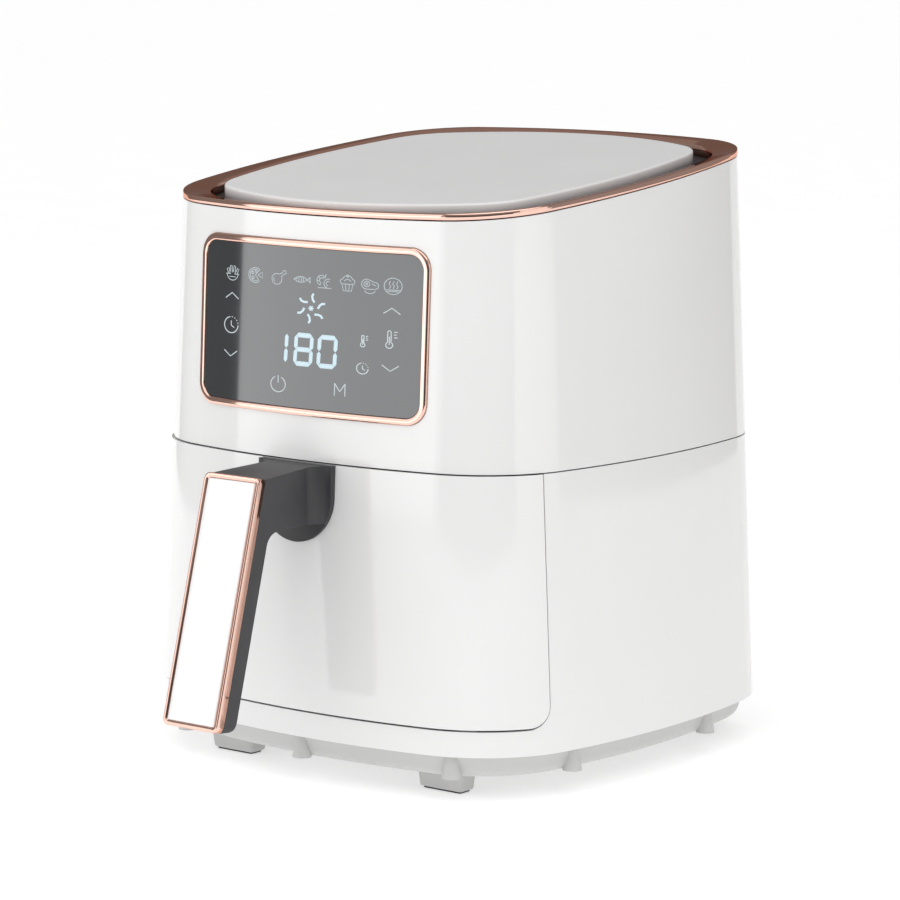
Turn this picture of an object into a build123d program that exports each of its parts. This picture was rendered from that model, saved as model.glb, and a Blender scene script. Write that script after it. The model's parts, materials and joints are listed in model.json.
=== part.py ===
"""Hot-air fryer with a pull-out pan, in millimetres: +Z up, front towards -Y.

Every piece is modelled about the vertical axis of the body. The finished pieces are moved
along Y by frame_shift when they are written, so that the origin is the bottom centre of the
whole appliance with its handle.
"""
from build123d import *
import math
import os

# ---------------------------------------------------------------- body outline in plan
half_width = 135.0        # at the seam between the two housings
half_depth = 136.0
front_bulge = 408.0       # plan radius of the front and rear faces
side_bulge = 456.0        # plan radius of the side faces
corner_radius = 58.5
draft = 0.044             # outward growth of the outline for each mm downwards

# ---------------------------------------------------------------- heights above the ground
pad_height = 1.0          # rubber pads under the feet
tray_z = 12.6             # underside of the base tray
housing_z = 25.3          # bottom edge of the lower housing
ledge_z = 38.7            # top of the ledge under the drawer front
seam_z = 171.6            # bottom edge of the upper housing
top_z = 313.4             # top edge of the upper housing, on the body axis
top_slope = 0.1079        # rise of the top for each mm towards the rear

# ---------------------------------------------------------------- walls and clearances
shell_wall = 2.8
sheet = 0.8               # steel sheet of the cooking bay and heat chamber
seam_gap = 0.6            # shadow gap between the two housings
drawer_gap = 1.2          # shadow gap at the sides and foot of the drawer front
fit = 0.2                 # clearance between pieces that are assembled together
slide_gap = 0.5           # clearance between the drawer and what it slides past
wire_gap = 0.3            # clearance round a winding or a sheathed wire
running_gap = 0.05        # radial clearance of the shaft in its bushes
through = 1.0             # how far a cutting shape runs past what it cuts

# ---------------------------------------------------------------- drawer and pan
split_reach = 45.0        # how far the drawer front reaches back round the sides
split_y = split_reach - half_depth
split_radius = 11.0       # lower corner of the drawer front, seen from the side
drawer_proud = 1.3        # drawer front stands proud of the housing
drawer_wall = 3.0
pan_side_room = 24.0      # from the pan to the body outline
pan_front_room = 18.0
pan_rear_room = 26.0
pan_headroom = 13.6       # from the pan up to the seam
pan_half_width = half_width - pan_side_room
pan_front = pan_front_room - half_depth
pan_rear = half_depth - pan_rear_room
pan_bottom = 46.0
pan_top = seam_z - pan_headroom
pan_corner = 41.0
pan_wall = 1.2
pan_draft = 3.0           # how much narrower the pan is at its floor, each side
rim_width = 2.6
rim_thickness = 1.2
rim_drop = 8.2            # from the pan's edge down to the rim that runs on the rails
rim_z = pan_top - rim_drop
plate_lift = 11.0         # crisper plate above the pan floor
plate_thickness = 1.5
plate_gap = 1.2           # crisper plate to the pan wall
plate_rim = 1.2
plate_rim_height = 6.0
plate_hole = 3.0
plate_pitch = 17.0
plate_margin = 18.5       # outermost holes to the edge of the crisper plate

# ---------------------------------------------------------------- bay and heat chamber
bay_gap = 1.4             # pan rim to the side of the bay
bay_rear_gap = 1.9
bay_floor_gap = 4.2
bay_half_width = pan_half_width + rim_width + bay_gap
bay_rear = pan_rear + rim_width + bay_rear_gap
bay_floor = pan_bottom - bay_floor_gap
bay_corner = pan_corner + rim_width + bay_gap
bay_ceiling = seam_z - sheet - 2.0
rail_clearance = 1.4      # pan wall to the rail
rail_width = rim_width + bay_gap - rail_clearance
rail_height = 4.0
rail_length = 146.0
fascia_sheet = 2.8
deck_sheet = 3.0
chamber_side_room = 11.0  # from the heat chamber to the pan wall
chamber_end_room = 36.0   # from the heat chamber to the front and rear of the body
chamber_radius = min(pan_half_width - chamber_side_room, half_depth - chamber_end_room)
guard_z = seam_z + 2.4
guard_wire = 1.1
guard_rings = 6
guard_centre = 18.0       # radius of the smallest ring
guard_edge_gap = 4.5
heater_z = guard_z + 12.0
heater_tube = 3.2
heater_pitch = 12.0
heater_wall_gap = 20.0
heater_radius = chamber_radius - heater_wall_gap
chamber_roof = heater_z + 30.0
support_length = 50.0
support_gap = 6.0         # heater supports to the chamber wall
support_height = 3.1
sensor_radius = 2.5
sensor_gap = 14.0         # sensor to the chamber wall
sensor_angle = math.radians(199.7)

# ---------------------------------------------------------------- motor and fans
shaft_radius = 4.0
impeller_gap = 2.8        # impeller to the innermost turn of the heater
impeller_radius = heater_radius - 7 * heater_pitch / 4 - heater_tube - impeller_gap
impeller_z = heater_z + 8.0
impeller_height = 13.0
impeller_sheet = 1.2
blade_count = 12
blade_length = 26.0
hub_radius = 9.0
bulkhead_z = chamber_roof + 9.0
bulkhead_sheet = 1.2
bulkhead_corner = 60.0
bulkhead_side_room = 29.0
bulkhead_end_room = 30.0
pillar_radius = 4.0
pillar_gap = 6.3          # pillars to the heat chamber
fan_radius = 44.0
fan_height = 10.0
fan_blades = 7
bridge_z = bulkhead_z + 21.0
bridge_width = 24.0
bridge_sheet = 1.5
bridge_foot = 12.0
mount_height = 2.5
mount_radius = 5.0
stator_z = bridge_z + 10.0
stator_height = 22.0
stator_width = 60.0
rotor_radius = 14.0
bush_radius = 8.0
bush_height = 7.0
bolt_radius = 1.8
bolt_inset = 5.0          # from the corner of the stator
nut_radius = 7.0
nut_height = 5.0

# ---------------------------------------------------------------- door switch
switch_gap = 5.5          # centre of the switch to the side of the bay
switch_z = 70.0
switch_half_width = 3.5
switch_half_height = 10.0
switch_depth = 11.8
plunger_radius = 1.6
plunger_travel = 2.0
plunger_well = 6.0

# ---------------------------------------------------------------- control panel
panel_z = 240.6           # centre of the panel
panel_width = 155.5
panel_height = 91.2
panel_corner = 11.5
panel_border = 3.6
panel_proud = 1.5
glass_proud = 0.7
glass_thickness = 2.6
carrier_depth = 2.5
carrier_margin = 4.0
board_room = 17.0         # from the display board to the front of the body
board_y = board_room - half_depth
board_height = 72.0
board_thickness = 1.6
module_depth = 9.5
module_x = (-20.0, 29.0)
module_z = (213.0, 262.0)
spring_radius = 2.5
spring_length = 5.5
key_columns = (-53.7, -35.8, -18.8, -2.7, 12.5, 27.5, 41.4, 55.3)
key_row_z = 266.0
side_key_heights = (253.5, 238.5, 223.6)
low_key_z = 210.3
low_keys = (-17.4, 24.5)

# ---------------------------------------------------------------- top cover
ring_height = 4.0         # trim ring above the housing edge
ring_line = 0.6           # shadow line under the trim ring
ring_land = 10.0
ring_inner_corner = 58.0
ring_wall = 1.2
well_depth = 3.5          # groove floor below the housing edge
deck_thickness = 2.5
lid_side_gap = 9.26       # lid plate to the trim ring
lid_end_gap = 5.26
top_shrink = draft * (top_z - seam_z)
lid_half_width = half_width - top_shrink - ring_land - lid_side_gap
lid_half_depth = half_depth - top_shrink - ring_land - lid_end_gap
lid_front_bulge = 186.0
lid_side_bulge = 340.0
lid_corner = 35.0
lid_rise = 5.0            # lid top above the housing edge
lid_wall = 2.5
lid_y = -2.5

# ---------------------------------------------------------------- handle
grip_half_width = 18.7
arm_half_width = 15.5     # where the arm leaves its flange
arm_flare = 9.0           # radius between the arm and its flange
arm_top = seam_z - seam_gap
arm_drop = 2.3            # fall of the arm's top from the flange to the grip
arm_depth = 30.7
arm_underside = arm_top - arm_depth
armpit_radius = 9.0       # where the arm turns down into the grip
grip_lean = math.radians(15.0)
grip_reach = 48.4         # face of the plastic grip at arm_top, from the front of the body
grip_back_y = -half_depth - grip_reach
grip_bottom = 41.5
grip_thickness = 9.7
grip_foot_radius = 6.0
flange_half_width = 24.8
flange_reach = 4.6
flange_y = -half_depth - flange_reach
flange_round_z = arm_top - 17.4   # centre of the round lower end
face_depth = 5.4
face_border = 2.7
face_corner = 3.5
insert_inset = 0.4
screw_radius = 2.5
screw_head = 4.2
screw_head_height = 3.0
screw_x = 9.0
screw_z = arm_top - 28.0
screw_depth = 9.0         # thread into the handle
boss_radius = 5.0
bracket_reach = 6.0
bracket_y = pan_front - bracket_reach
bracket_sheet = 1.5
bracket_half_width = 24.0
bracket_wing = 9.0
bracket_drop = 8.0        # lower edge of the bracket below the screws

# ---------------------------------------------------------------- base
tray_wall = 2.5
tray_offset = 1.0         # tray outline where it meets the housing, from the seam outline
tray_taper = 4.0          # how much the tray draws in towards its underside
tray_round = 6.5
tray_tongue = 8.0         # upstand of the tray inside the lower housing
foot_width = 30.0
foot_depth = 14.0
foot_corner = 2.0
foot_taper = 2.0
pad_inset = 2.5           # rubber pad inside the foot
foot_x = half_width - 62.4
foot_y = half_depth - 33.0
rib_radius = 5.2
rib_taper = 2.0
rib_inset = 1.0           # centre of a rib inside the seam outline
rib_shares = (-0.25, -0.1495, -0.0742, 0.0537, 0.1525, 0.25)   # of the outline, from its +X tip
post_x = half_width - 55.0
post_y = half_depth - 76.0
post_radius = 6.0
post_bore = 2.2
tray_screw = 2.0
tray_screw_head = 4.0
tray_head_room = 3.0      # depth of the recess for a screw head
vent_pitch = 10.0
vent_width = 5.0
vent_half_length = 42.0

# ---------------------------------------------------------------- rear
grille_width = 90.0
grille_z = (178.0, 214.0)
grille_corner = 6.0
slot_height = 4.0
slot_margin = 7.0
duct_half = 34.0
duct_z = (183.0, 209.0)
gland_x = -62.0
gland_z = 62.0
gland_bore = 3.6
gland_radius = 6.0
gland_flange = 9.5


# ---------------------------------------------------------------- helpers
def block(x, y, z):
    """A box from its lowest and highest values along each axis."""
    size = [pair[1] - pair[0] for pair in (x, y, z)]
    centre = [(pair[0] + pair[1]) / 2 for pair in (x, y, z)]
    return Pos(*centre) * Box(*size)


def post(radius, x, y, z):
    """An upright cylinder at x, y from z[0] to z[1]."""
    return Pos(x, y, (z[0] + z[1]) / 2) * Cylinder(radius, z[1] - z[0])


def pin(radius, x, y, z):
    """A cylinder along Y at x, z from y[0] to y[1]."""
    return Pos(x, (y[0] + y[1]) / 2, z) * Rot(90, 0, 0) * Cylinder(radius, y[1] - y[0])


def joined(pieces):
    """One shape of all the pieces."""
    total = pieces[0]
    for piece in pieces[1:]:
        total = total + piece
    return total


def separate(pieces):
    """Several solids that share one node and don't touch."""
    return Compound([solid for piece in pieces for solid in piece.solids()])


def mirrored(piece):
    """A piece and its mirror image in the plane x = 0."""
    return [piece, mirror(piece, about=Plane.YZ)]


def bulged(half_x, half_y, bulge_y, bulge_x, corner, z=0.0):
    """A rounded rectangle with bowed sides, made of eight tangent arcs."""
    side = Vector(half_x - bulge_x, 0)
    rear = Vector(0, half_y - bulge_y)
    gap = rear - side
    reach = bulge_x - corner
    along = (reach ** 2 - (bulge_y - corner) ** 2 + gap.length ** 2) / (2 * gap.length)
    across = math.sqrt(reach ** 2 - along ** 2)
    unit = gap.normalized()
    centre = side + unit * along + Vector(-unit.Y, unit.X) * across
    to_side = (centre - side).normalized()
    to_rear = (centre - rear).normalized()
    between = (to_side + to_rear).normalized()
    quadrant = [centre + way * corner for way in (to_side, between, to_rear)]
    corners = []
    for sx, sy in ((1, 1), (-1, 1), (-1, -1), (1, -1)):
        points = [(sx * p.X, sy * p.Y) for p in quadrant]
        corners.append(points if sx * sy > 0 else points[::-1])
    tips = [(0, half_y), (-half_x, 0), (0, -half_y), (half_x, 0)]
    edges = []
    for index, tip in enumerate(tips):
        start, middle, end = corners[index]
        edges.append(ThreePointArc(start, middle, end))
        edges.append(ThreePointArc(end, tip, corners[(index + 1) % 4][0]))
    return Pos(0, 0, z) * Face(Wire(edges))


def body_face(offset, z):
    """The body outline at height z, moved outwards by offset."""
    grow = offset + draft * (seam_z - z)
    return bulged(half_width + grow, half_depth + grow, front_bulge + grow, side_bulge + grow,
                  corner_radius + grow, z)


def body(offset, low, high):
    """The drafted body between two heights, moved outwards by offset."""
    return loft([body_face(offset, low), body_face(offset, high)], ruled=True)


def shell(outside, inside, low, high):
    """A drafted tube of the body outline between two offsets."""
    return body(outside, low, high) - body(inside, low, high)


def top_plane(rise):
    """The sloping plane of the top edge, raised by rise."""
    return Plane(origin=(0, 0, top_z + rise), x_dir=(1, 0, 0), z_dir=(0, -top_slope, 1))


def between_planes(piece, low_rise, high_rise):
    """What lies between two of the sloping planes."""
    lower = split(piece, bisect_by=top_plane(high_rise), keep=Keep.BOTTOM)
    return split(lower, bisect_by=top_plane(low_rise), keep=Keep.TOP)


def front_window(width, height, corner, z, y):
    """A rounded rectangle seen from the front, run through y[0] to y[1]."""
    outline = RectangleRounded(width, height, corner)
    return extrude(Plane((0, y[1], z), x_dir=(1, 0, 0), z_dir=(0, -1, 0)) * outline, y[1] - y[0])


def ring_outline(inset):
    """The inner outline of the trim ring, moved inwards by inset."""
    grow = draft * (seam_z - top_z) - ring_land - inset
    return bulged(half_width + grow, half_depth + grow, front_bulge + grow, side_bulge + grow,
                  ring_inner_corner - inset, top_z - 60)


face_top = arm_top - arm_drop
drop_height = face_top - grip_bottom
face_foot_y = grip_back_y - drop_height * math.tan(grip_lean)
front_reach = face_depth * math.cos(grip_lean) - face_foot_y
rear_reach = half_depth + draft * (seam_z - housing_z)
frame_shift = (front_reach - rear_reach) / 2
far = 2 * half_width
above_top = top_z + 40
parts = {}

# ---------------------------------------------------------------- drawer envelope
drawer_low = ledge_z + drawer_gap
drawer_high = seam_z - seam_gap
drawer_rear = split_y - slide_gap


def drawer_space(gap):
    """The room in front of the split, seen from the side, grown by gap on its two edges."""
    depth = 2 * half_depth
    outline = RectangleRounded(depth, 2 * depth, split_radius + gap)
    place = Pos(drawer_rear + gap - depth / 2, drawer_low - gap + depth)
    return extrude(Plane.YZ * place * outline, far, both=True)


# ---------------------------------------------------------------- housings
upper = shell(0, -shell_wall, seam_z, above_top)
upper = split(upper, bisect_by=top_plane(0), keep=Keep.BOTTOM)
panel_room = (-far, -half_depth / 2)
upper = upper - front_window(panel_width + fit, panel_height + fit, panel_corner, panel_z,
                             panel_room)
rear_room = (half_depth / 2, far)
grille_height = grille_z[1] - grille_z[0]
grille_room = front_window(grille_width + fit, grille_height + fit, grille_corner,
                           sum(grille_z) / 2, rear_room)
upper = upper - grille_room
parts["upper_housing"] = upper

lower = shell(0, -shell_wall, housing_z, seam_z - seam_gap)
lower = lower - drawer_space(drawer_gap)
ledge = body(-shell_wall + 0.1, ledge_z - 2.5, ledge_z)
ledge = ledge & block((-far, far), (-far, split_y + fascia_sheet + fit), (0, far))
lower = lower + ledge
lower = lower - pin(gland_radius + fit, gland_x, rear_room, gland_z)
parts["lower_housing"] = lower

# ---------------------------------------------------------------- top cover
band = body(0.3, seam_z, above_top) - extrude(ring_outline(0), 120)
band = between_planes(band, ring_line, ring_height)
drop = extrude(ring_outline(0), 120) - extrude(ring_outline(ring_wall), 120)
drop = between_planes(drop, -well_depth, ring_height)
parts["trim_ring"] = band + drop

deck = between_planes(body(-shell_wall - fit, seam_z, above_top),
                      -well_depth - deck_thickness, -well_depth - 0.05)
parts["top_deck"] = deck

lid_face = bulged(lid_half_width, lid_half_depth, lid_front_bulge, lid_side_bulge, lid_corner)
lid_hollow = bulged(lid_half_width - lid_wall, lid_half_depth - lid_wall,
                    lid_front_bulge - lid_wall, lid_side_bulge - lid_wall,
                    lid_corner - lid_wall)
lid_place = Pos(0, lid_y, top_z - 60)
lid = between_planes(extrude(lid_place * lid_face, 120), -well_depth, lid_rise)
lid = lid - between_planes(extrude(lid_place * lid_hollow, 120), -far, lid_rise - lid_wall)
parts["lid_plate"] = lid

# ---------------------------------------------------------------- control panel
low_panel = panel_z - panel_height / 2 - 10
high_panel = panel_z + panel_height / 2 + 10
frame_outline = front_window(panel_width, panel_height, panel_corner, panel_z, panel_room)
glass_width = panel_width - 2 * panel_border
glass_height = panel_height - 2 * panel_border
glass_corner = panel_corner - panel_border
frame_hole = front_window(glass_width, glass_height, glass_corner, panel_z, panel_room)
frame = shell(panel_proud, -shell_wall, low_panel, high_panel) & (frame_outline - frame_hole)
parts["panel_frame"] = frame

glass_outline = front_window(glass_width - fit, glass_height - fit, glass_corner, panel_z,
                             panel_room)
glass_back = glass_proud - glass_thickness
glass = shell(glass_proud, glass_back, low_panel, high_panel) & glass_outline
parts["panel_glass"] = glass

carrier_front = -shell_wall - fit
carrier = shell(carrier_front, carrier_front - carrier_depth, low_panel, high_panel)
carrier = carrier & front_window(panel_width + 2 * carrier_margin, panel_height + 2 * carrier_margin,
                                 panel_corner, panel_z, panel_room)
carrier = carrier - block((module_x[0] - through, module_x[1] + through), panel_room,
                          (module_z[0] - through, module_z[1] + through))
keys = [(x, key_row_z) for x in key_columns]
keys = keys + [(x, z) for x in (key_columns[0], key_columns[-1]) for z in side_key_heights]
keys = keys + [(x, low_key_z) for x in low_keys]
carrier = carrier - [pin(spring_radius + 1.0, x, panel_room, z) for x, z in keys]
parts["panel_carrier"] = carrier

board_x = glass_width / 2 - 9.0
parts["display_board"] = block((-board_x, board_x), (board_y, board_y + board_thickness),
                               (panel_z - board_height / 2, panel_z + board_height / 2))
parts["display_module"] = block(module_x, (board_y - module_depth, board_y), module_z)
spring_y = (board_y - spring_length, board_y)
parts["touch_springs"] = separate([pin(spring_radius, x, spring_y, z) for x, z in keys])

# ---------------------------------------------------------------- bay
fascia_y = (split_y + fit, split_y + fit + fascia_sheet)
fascia = body(-shell_wall - fit, ledge_z + fit, seam_z - seam_gap)
fascia = fascia & block((-far, far), fascia_y, (0, far))
fascia = fascia - block((-bay_half_width, bay_half_width), fascia_y, (bay_floor, bay_ceiling))
switch_x = bay_half_width + switch_gap
switch_hole = plunger_radius + 0.4
fascia = fascia - pin(switch_hole, switch_x, fascia_y, switch_z)
fascia = fascia - post(chamber_radius + fit, 0, 0, (bay_ceiling, seam_z))
parts["bay_fascia"] = fascia


def bay_prism(grow, low, high):
    """The cooking bay in plan, with round rear corners, grown by grow."""
    width = 2 * (bay_half_width + grow)
    depth = 2 * (bay_rear - fascia_y[1])
    outline = RectangleRounded(width, depth + 2 * grow, bay_corner + grow)
    centre = bay_rear - depth / 2
    prism = extrude(Pos(0, centre, low) * outline, high - low)
    return prism & block((-far, far), (fascia_y[1], far), (low, high))


liner = bay_prism(sheet, bay_floor - sheet, bay_ceiling + sheet)
liner = liner - bay_prism(0, bay_floor, bay_ceiling)
liner = liner - post(chamber_radius - 2.0, 0, 0, (bay_ceiling - through, bay_ceiling + sheet + through))
parts["bay_liner"] = liner

rail_x = (bay_half_width - rail_width, bay_half_width)
rail_z = (rim_z - slide_gap - rail_height, rim_z - slide_gap)
rail_start = fascia_y[1] + 2.0
rail = block(rail_x, (rail_start, rail_start + rail_length), rail_z)
parts["drawer_rails"] = separate(mirrored(rail))

mid_deck = body(-shell_wall - fit, seam_z, seam_z + deck_sheet)
mid_deck = mid_deck - post(chamber_radius + 1.0, 0, 0, (seam_z, seam_z + deck_sheet))
parts["mid_deck"] = mid_deck

# ---------------------------------------------------------------- heat chamber
chamber_low = bay_ceiling + sheet
chamber = post(chamber_radius, 0, 0, (chamber_low, chamber_roof))
chamber = chamber - post(chamber_radius - sheet, 0, 0, (chamber_low - through, chamber_roof - sheet))
shaft_hole = shaft_radius + 2.0
roof_cut = (chamber_roof - sheet - through, chamber_roof + through)
chamber = chamber - post(shaft_hole, 0, 0, roof_cut)
chamber = chamber - block((-duct_half, duct_half), (chamber_radius / 2, far), duct_z)
heater_bend = 10.0
heater_ends = [(heater_radius + heater_pitch / 4, -heater_bend),
               (heater_radius - 7 * heater_pitch / 4, heater_bend)]
heater_hole = heater_tube + 2.0
for x, y in heater_ends:
    chamber = chamber - post(heater_hole, x, y, roof_cut)
sensor_ring = chamber_radius - sensor_gap
sensor_spot = (sensor_ring * math.cos(sensor_angle), sensor_ring * math.sin(sensor_angle))
chamber = chamber - post(sensor_radius + fit, *sensor_spot, roof_cut)
parts["heat_chamber"] = chamber

duct_y = (chamber_radius + slide_gap, half_depth - shell_wall - 7.0)
duct = block((-duct_half - sheet, duct_half + sheet), duct_y,
             (duct_z[0] - sheet, duct_z[1] + sheet))
duct = duct - block((-duct_half, duct_half), duct_y, duct_z)
parts["exhaust_duct"] = duct

grille = shell(0.8, -shell_wall, grille_z[0] - through, grille_z[1] + through)
grille = grille & front_window(grille_width, grille_height, grille_corner - fit / 2,
                               sum(grille_z) / 2, rear_room)
slot_pitch = 2 * slot_height
slot_count = int((grille_height - slot_height) / slot_pitch)
for index in range(slot_count):
    z = sum(grille_z) / 2 + (index - (slot_count - 1) / 2) * slot_pitch
    grille = grille - front_window(grille_width - 2 * slot_margin, slot_height,
                                   slot_height / 2 - 0.01, z, rear_room)
parts["exhaust_grille"] = grille

guard = []
guard_pitch = (chamber_radius - guard_edge_gap - guard_centre) / (guard_rings - 1)
guard_radii = [guard_centre + guard_pitch * step for step in range(guard_rings)]
for radius in guard_radii:
    guard.append(Pos(0, 0, guard_z) * Torus(radius, guard_wire))
for step in range(4):
    spoke = Cylinder(guard_wire, 2 * guard_radii[-1])
    guard.append(Pos(0, 0, guard_z) * Rot(0, 0, 45 * step) * Rot(0, 90, 0) * spoke)
parts["heater_guard"] = joined(guard)

# spiral of half circles, with both ends turned up through the chamber roof
turns = []
start_x = heater_ends[0][0]
for step in range(4):
    radius = heater_radius - step * heater_pitch / 2
    centre_x = (1 if step % 2 == 0 else -1) * heater_pitch / 4
    way = 1 if step % 2 == 0 else -1
    turns.append(ThreePointArc((centre_x + way * radius, 0, heater_z),
                               (centre_x, way * radius, heater_z),
                               (centre_x - way * radius, 0, heater_z)))
tail_top = bulkhead_z + 10.0
half_bend = heater_bend * math.sqrt(0.5)
tails = []
for (x, y), way in zip(heater_ends, (-1, 1)):
    arc = ThreePointArc((x, 0, heater_z), (x, way * half_bend, heater_z + heater_bend - half_bend),
                        (x, way * heater_bend, heater_z + heater_bend))
    rise = Line((x, way * heater_bend, heater_z + heater_bend), (x, way * heater_bend, tail_top))
    tails.append((arc, rise))
coil_edges = [tails[0][1], tails[0][0]] + turns + [tails[1][0], tails[1][1]]
coil_path = Wire(coil_edges)
tube_start = Plane(origin=(heater_ends[0][0], heater_ends[0][1], tail_top), z_dir=(0, 0, 1))
parts["heater_coil"] = sweep(tube_start * Circle(heater_tube), path=coil_path)

supports = []
support_top = heater_z - heater_tube - 0.1
support_low = support_top - support_height
support_out = chamber_radius - support_gap
for angle in (60, 150, 240, 330):
    bar = block((support_out - support_length, support_out), (-1.0, 1.0), (support_low, support_top))
    leg = block((support_out - 2.0, support_out), (-4.0, 4.0), (support_low, chamber_roof - sheet))
    supports.append(Rot(0, 0, angle) * (bar + leg))
parts["heater_supports"] = separate(supports)

parts["temp_sensor"] = (post(sensor_radius, *sensor_spot, (heater_z + 12, chamber_roof + 6))
                        + post(6.0, *sensor_spot, (chamber_roof + 0.1, chamber_roof + 2)))
parts["thermal_fuse"] = block((-62, -42), (36, 44), (chamber_roof + 0.1, chamber_roof + 6))

mat = post(chamber_radius - 4, 0, 0, (chamber_roof + 7, bulkhead_z - fit))
mat = mat - post(30.0, 0, 0, (chamber_roof, bulkhead_z))
mat = mat - [post(heater_hole + 3, x, y, (chamber_roof, bulkhead_z)) for x, y in heater_ends]
parts["insulation_mat"] = mat

# ---------------------------------------------------------------- bulkhead and motor
bulkhead_top = bulkhead_z + bulkhead_sheet
bulkhead_outline = RectangleRounded(2 * (half_width - bulkhead_side_room),
                                    2 * (half_depth - bulkhead_end_room), bulkhead_corner)
bulkhead = extrude(Pos(0, 0, bulkhead_z) * bulkhead_outline, bulkhead_sheet)
bulkhead = bulkhead - post(shaft_hole, 0, 0, (bulkhead_z, bulkhead_top))
bulkhead = bulkhead - [post(heater_hole, x, y, (bulkhead_z, bulkhead_top)) for x, y in heater_ends]
parts["bulkhead"] = bulkhead

pillar_spot = (chamber_radius + pillar_gap + pillar_radius) * math.sqrt(0.5)
pillar_span = (seam_z + deck_sheet, bulkhead_z)
pillars = [post(pillar_radius, sx * pillar_spot, sy * pillar_spot, pillar_span)
           for sx in (-1, 1) for sy in (-1, 1)]
parts["bulkhead_pillars"] = separate(pillars)

leg_y = fan_radius + 7.0
leg_low = bulkhead_top + mount_height
bridge_top = bridge_z + bridge_sheet
bridge_x = (-bridge_width / 2, bridge_width / 2)
lower_bridge = block(bridge_x, (-leg_y, leg_y), (bridge_z, bridge_top))
for sign in (-1, 1):
    outer = sorted((sign * leg_y, sign * (leg_y - bridge_sheet)))
    foot = sorted((sign * leg_y, sign * (leg_y + bridge_foot)))
    lower_bridge = lower_bridge + block(bridge_x, outer, (leg_low, bridge_top))
    lower_bridge = lower_bridge + block(bridge_x, foot, (leg_low, leg_low + bridge_sheet))
stator_half = stator_width / 2
bolt_spot = stator_half - bolt_inset
bolts = [(sx * bolt_spot, sy * bolt_spot) for sx in (-1, 1) for sy in (-1, 1)]
plate_z = (bridge_top, bridge_top + bridge_sheet)
end_plate = block((-stator_half, stator_half), (-stator_half, stator_half), plate_z)
lower_bridge = lower_bridge + end_plate
lower_bridge = lower_bridge - post(bush_radius, 0, 0, (bridge_z, plate_z[1]))
bolt_hole = bolt_radius + 0.1
lower_bridge = lower_bridge - [post(bolt_hole, x, y, (bridge_z, plate_z[1])) for x, y in bolts]
parts["motor_bridge"] = lower_bridge

mount_y = leg_y + bridge_foot / 2
mounts = [post(mount_radius, 0, sign * mount_y, (bulkhead_top, leg_low)) for sign in (-1, 1)]
parts["motor_mounts"] = separate(mounts)

stator_top = stator_z + stator_height
stator = block((-stator_half, stator_half), (-stator_half, stator_half), (stator_z, stator_top))
stator = stator - post(rotor_radius + 1.0, 0, 0, (stator_z, stator_top))
stator = stator - [post(bolt_hole, x, y, (stator_z, stator_top)) for x, y in bolts]
winding_x = (stator_half - 11.0, stator_half - 1.0)
winding_y = (-10.0, 10.0)
winding_z = (stator_z - 5.0, stator_top + 5.0)
winding = block(winding_x, winding_y, winding_z)
stator = stator - mirrored(block((winding_x[0] - wire_gap, winding_x[1] + wire_gap),
                                 (winding_y[0] - wire_gap, winding_y[1] + wire_gap), winding_z))
parts["motor_stator"] = stator
parts["motor_windings"] = separate(mirrored(winding))

cap_z = stator_top + 7.0
cap_span = (cap_z, cap_z + bridge_sheet)
cap = block((-stator_half, stator_half), (-11.0, 11.0), cap_span)
arm_x = (bolt_spot - bolt_inset, bolt_spot + bolt_inset)
cap = cap + mirrored(block(arm_x, (-stator_half, stator_half), cap_span))
cap = cap - post(bush_radius, 0, 0, cap_span)
cap = cap - [post(bolt_hole, x, y, cap_span) for x, y in bolts]
parts["motor_cap"] = cap

bolt_low = bridge_top + 0.1
bolt_top = cap_span[1]
parts["motor_bolts"] = separate([post(bolt_radius, x, y, (bolt_low, bolt_top))
                                 + post(3.2, x, y, (bolt_top, bolt_top + 2.4)) for x, y in bolts])

bushes = []
for middle in (bridge_z + bridge_sheet, cap_z + bridge_sheet / 2):
    span = (middle - bush_height / 2, middle + bush_height / 2)
    bushes.append(post(bush_radius, 0, 0, span) - post(shaft_radius + running_gap, 0, 0, span))
parts["motor_bushes"] = separate(bushes)

# ---------------------------------------------------------------- spinning pieces
impeller_top = impeller_z + impeller_height
shaft_low = impeller_z - 6.0
shaft_top = cap_z + 8.0
parts["fan_shaft"] = post(shaft_radius, 0, 0, (shaft_low, shaft_top))

bore = shaft_radius + running_gap
impeller = post(impeller_radius, 0, 0, (impeller_top - impeller_sheet, impeller_top))
impeller = impeller + post(hub_radius, 0, 0, (impeller_z + 2.0, impeller_top))
blade_x = (impeller_radius - 1.0 - blade_length, impeller_radius - 1.0)
blade_y = (6.0 - impeller_sheet / 2, 6.0 + impeller_sheet / 2)
blade = block(blade_x, blade_y, (impeller_z, impeller_top - impeller_sheet / 2))
for step in range(blade_count):
    impeller = impeller + Rot(0, 0, 360 / blade_count * step) * blade
impeller = impeller - post(bore, 0, 0, (impeller_z, impeller_top))
parts["hot_air_impeller"] = impeller

nut_low = impeller_z + 2.0 - 0.1 - nut_height
nut = extrude(Pos(0, 0, nut_low) * RegularPolygon(nut_radius, 6), nut_height)
parts["impeller_nut"] = nut - post(bore, 0, 0, (nut_low, nut_low + nut_height))

fan_z = bulkhead_top + 5.0
fan_span = (fan_z, fan_z + fan_height)
cooling = post(hub_radius, 0, 0, fan_span)
fan_blade = Rot(32, 0, 0) * Box(fan_radius - hub_radius, fan_height + 3.0, impeller_sheet)
fan_blade = Pos((fan_radius + hub_radius) / 2 - 1.0, 0, sum(fan_span) / 2) * fan_blade
for step in range(fan_blades):
    cooling = cooling + Rot(0, 0, 360 / fan_blades * step) * fan_blade
parts["cooling_fan"] = cooling - post(bore, 0, 0, fan_span)

rotor = post(rotor_radius, 0, 0, (stator_z + 0.5, stator_top - 0.5))
parts["motor_rotor"] = rotor - post(bore, 0, 0, (stator_z, stator_top))

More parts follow.
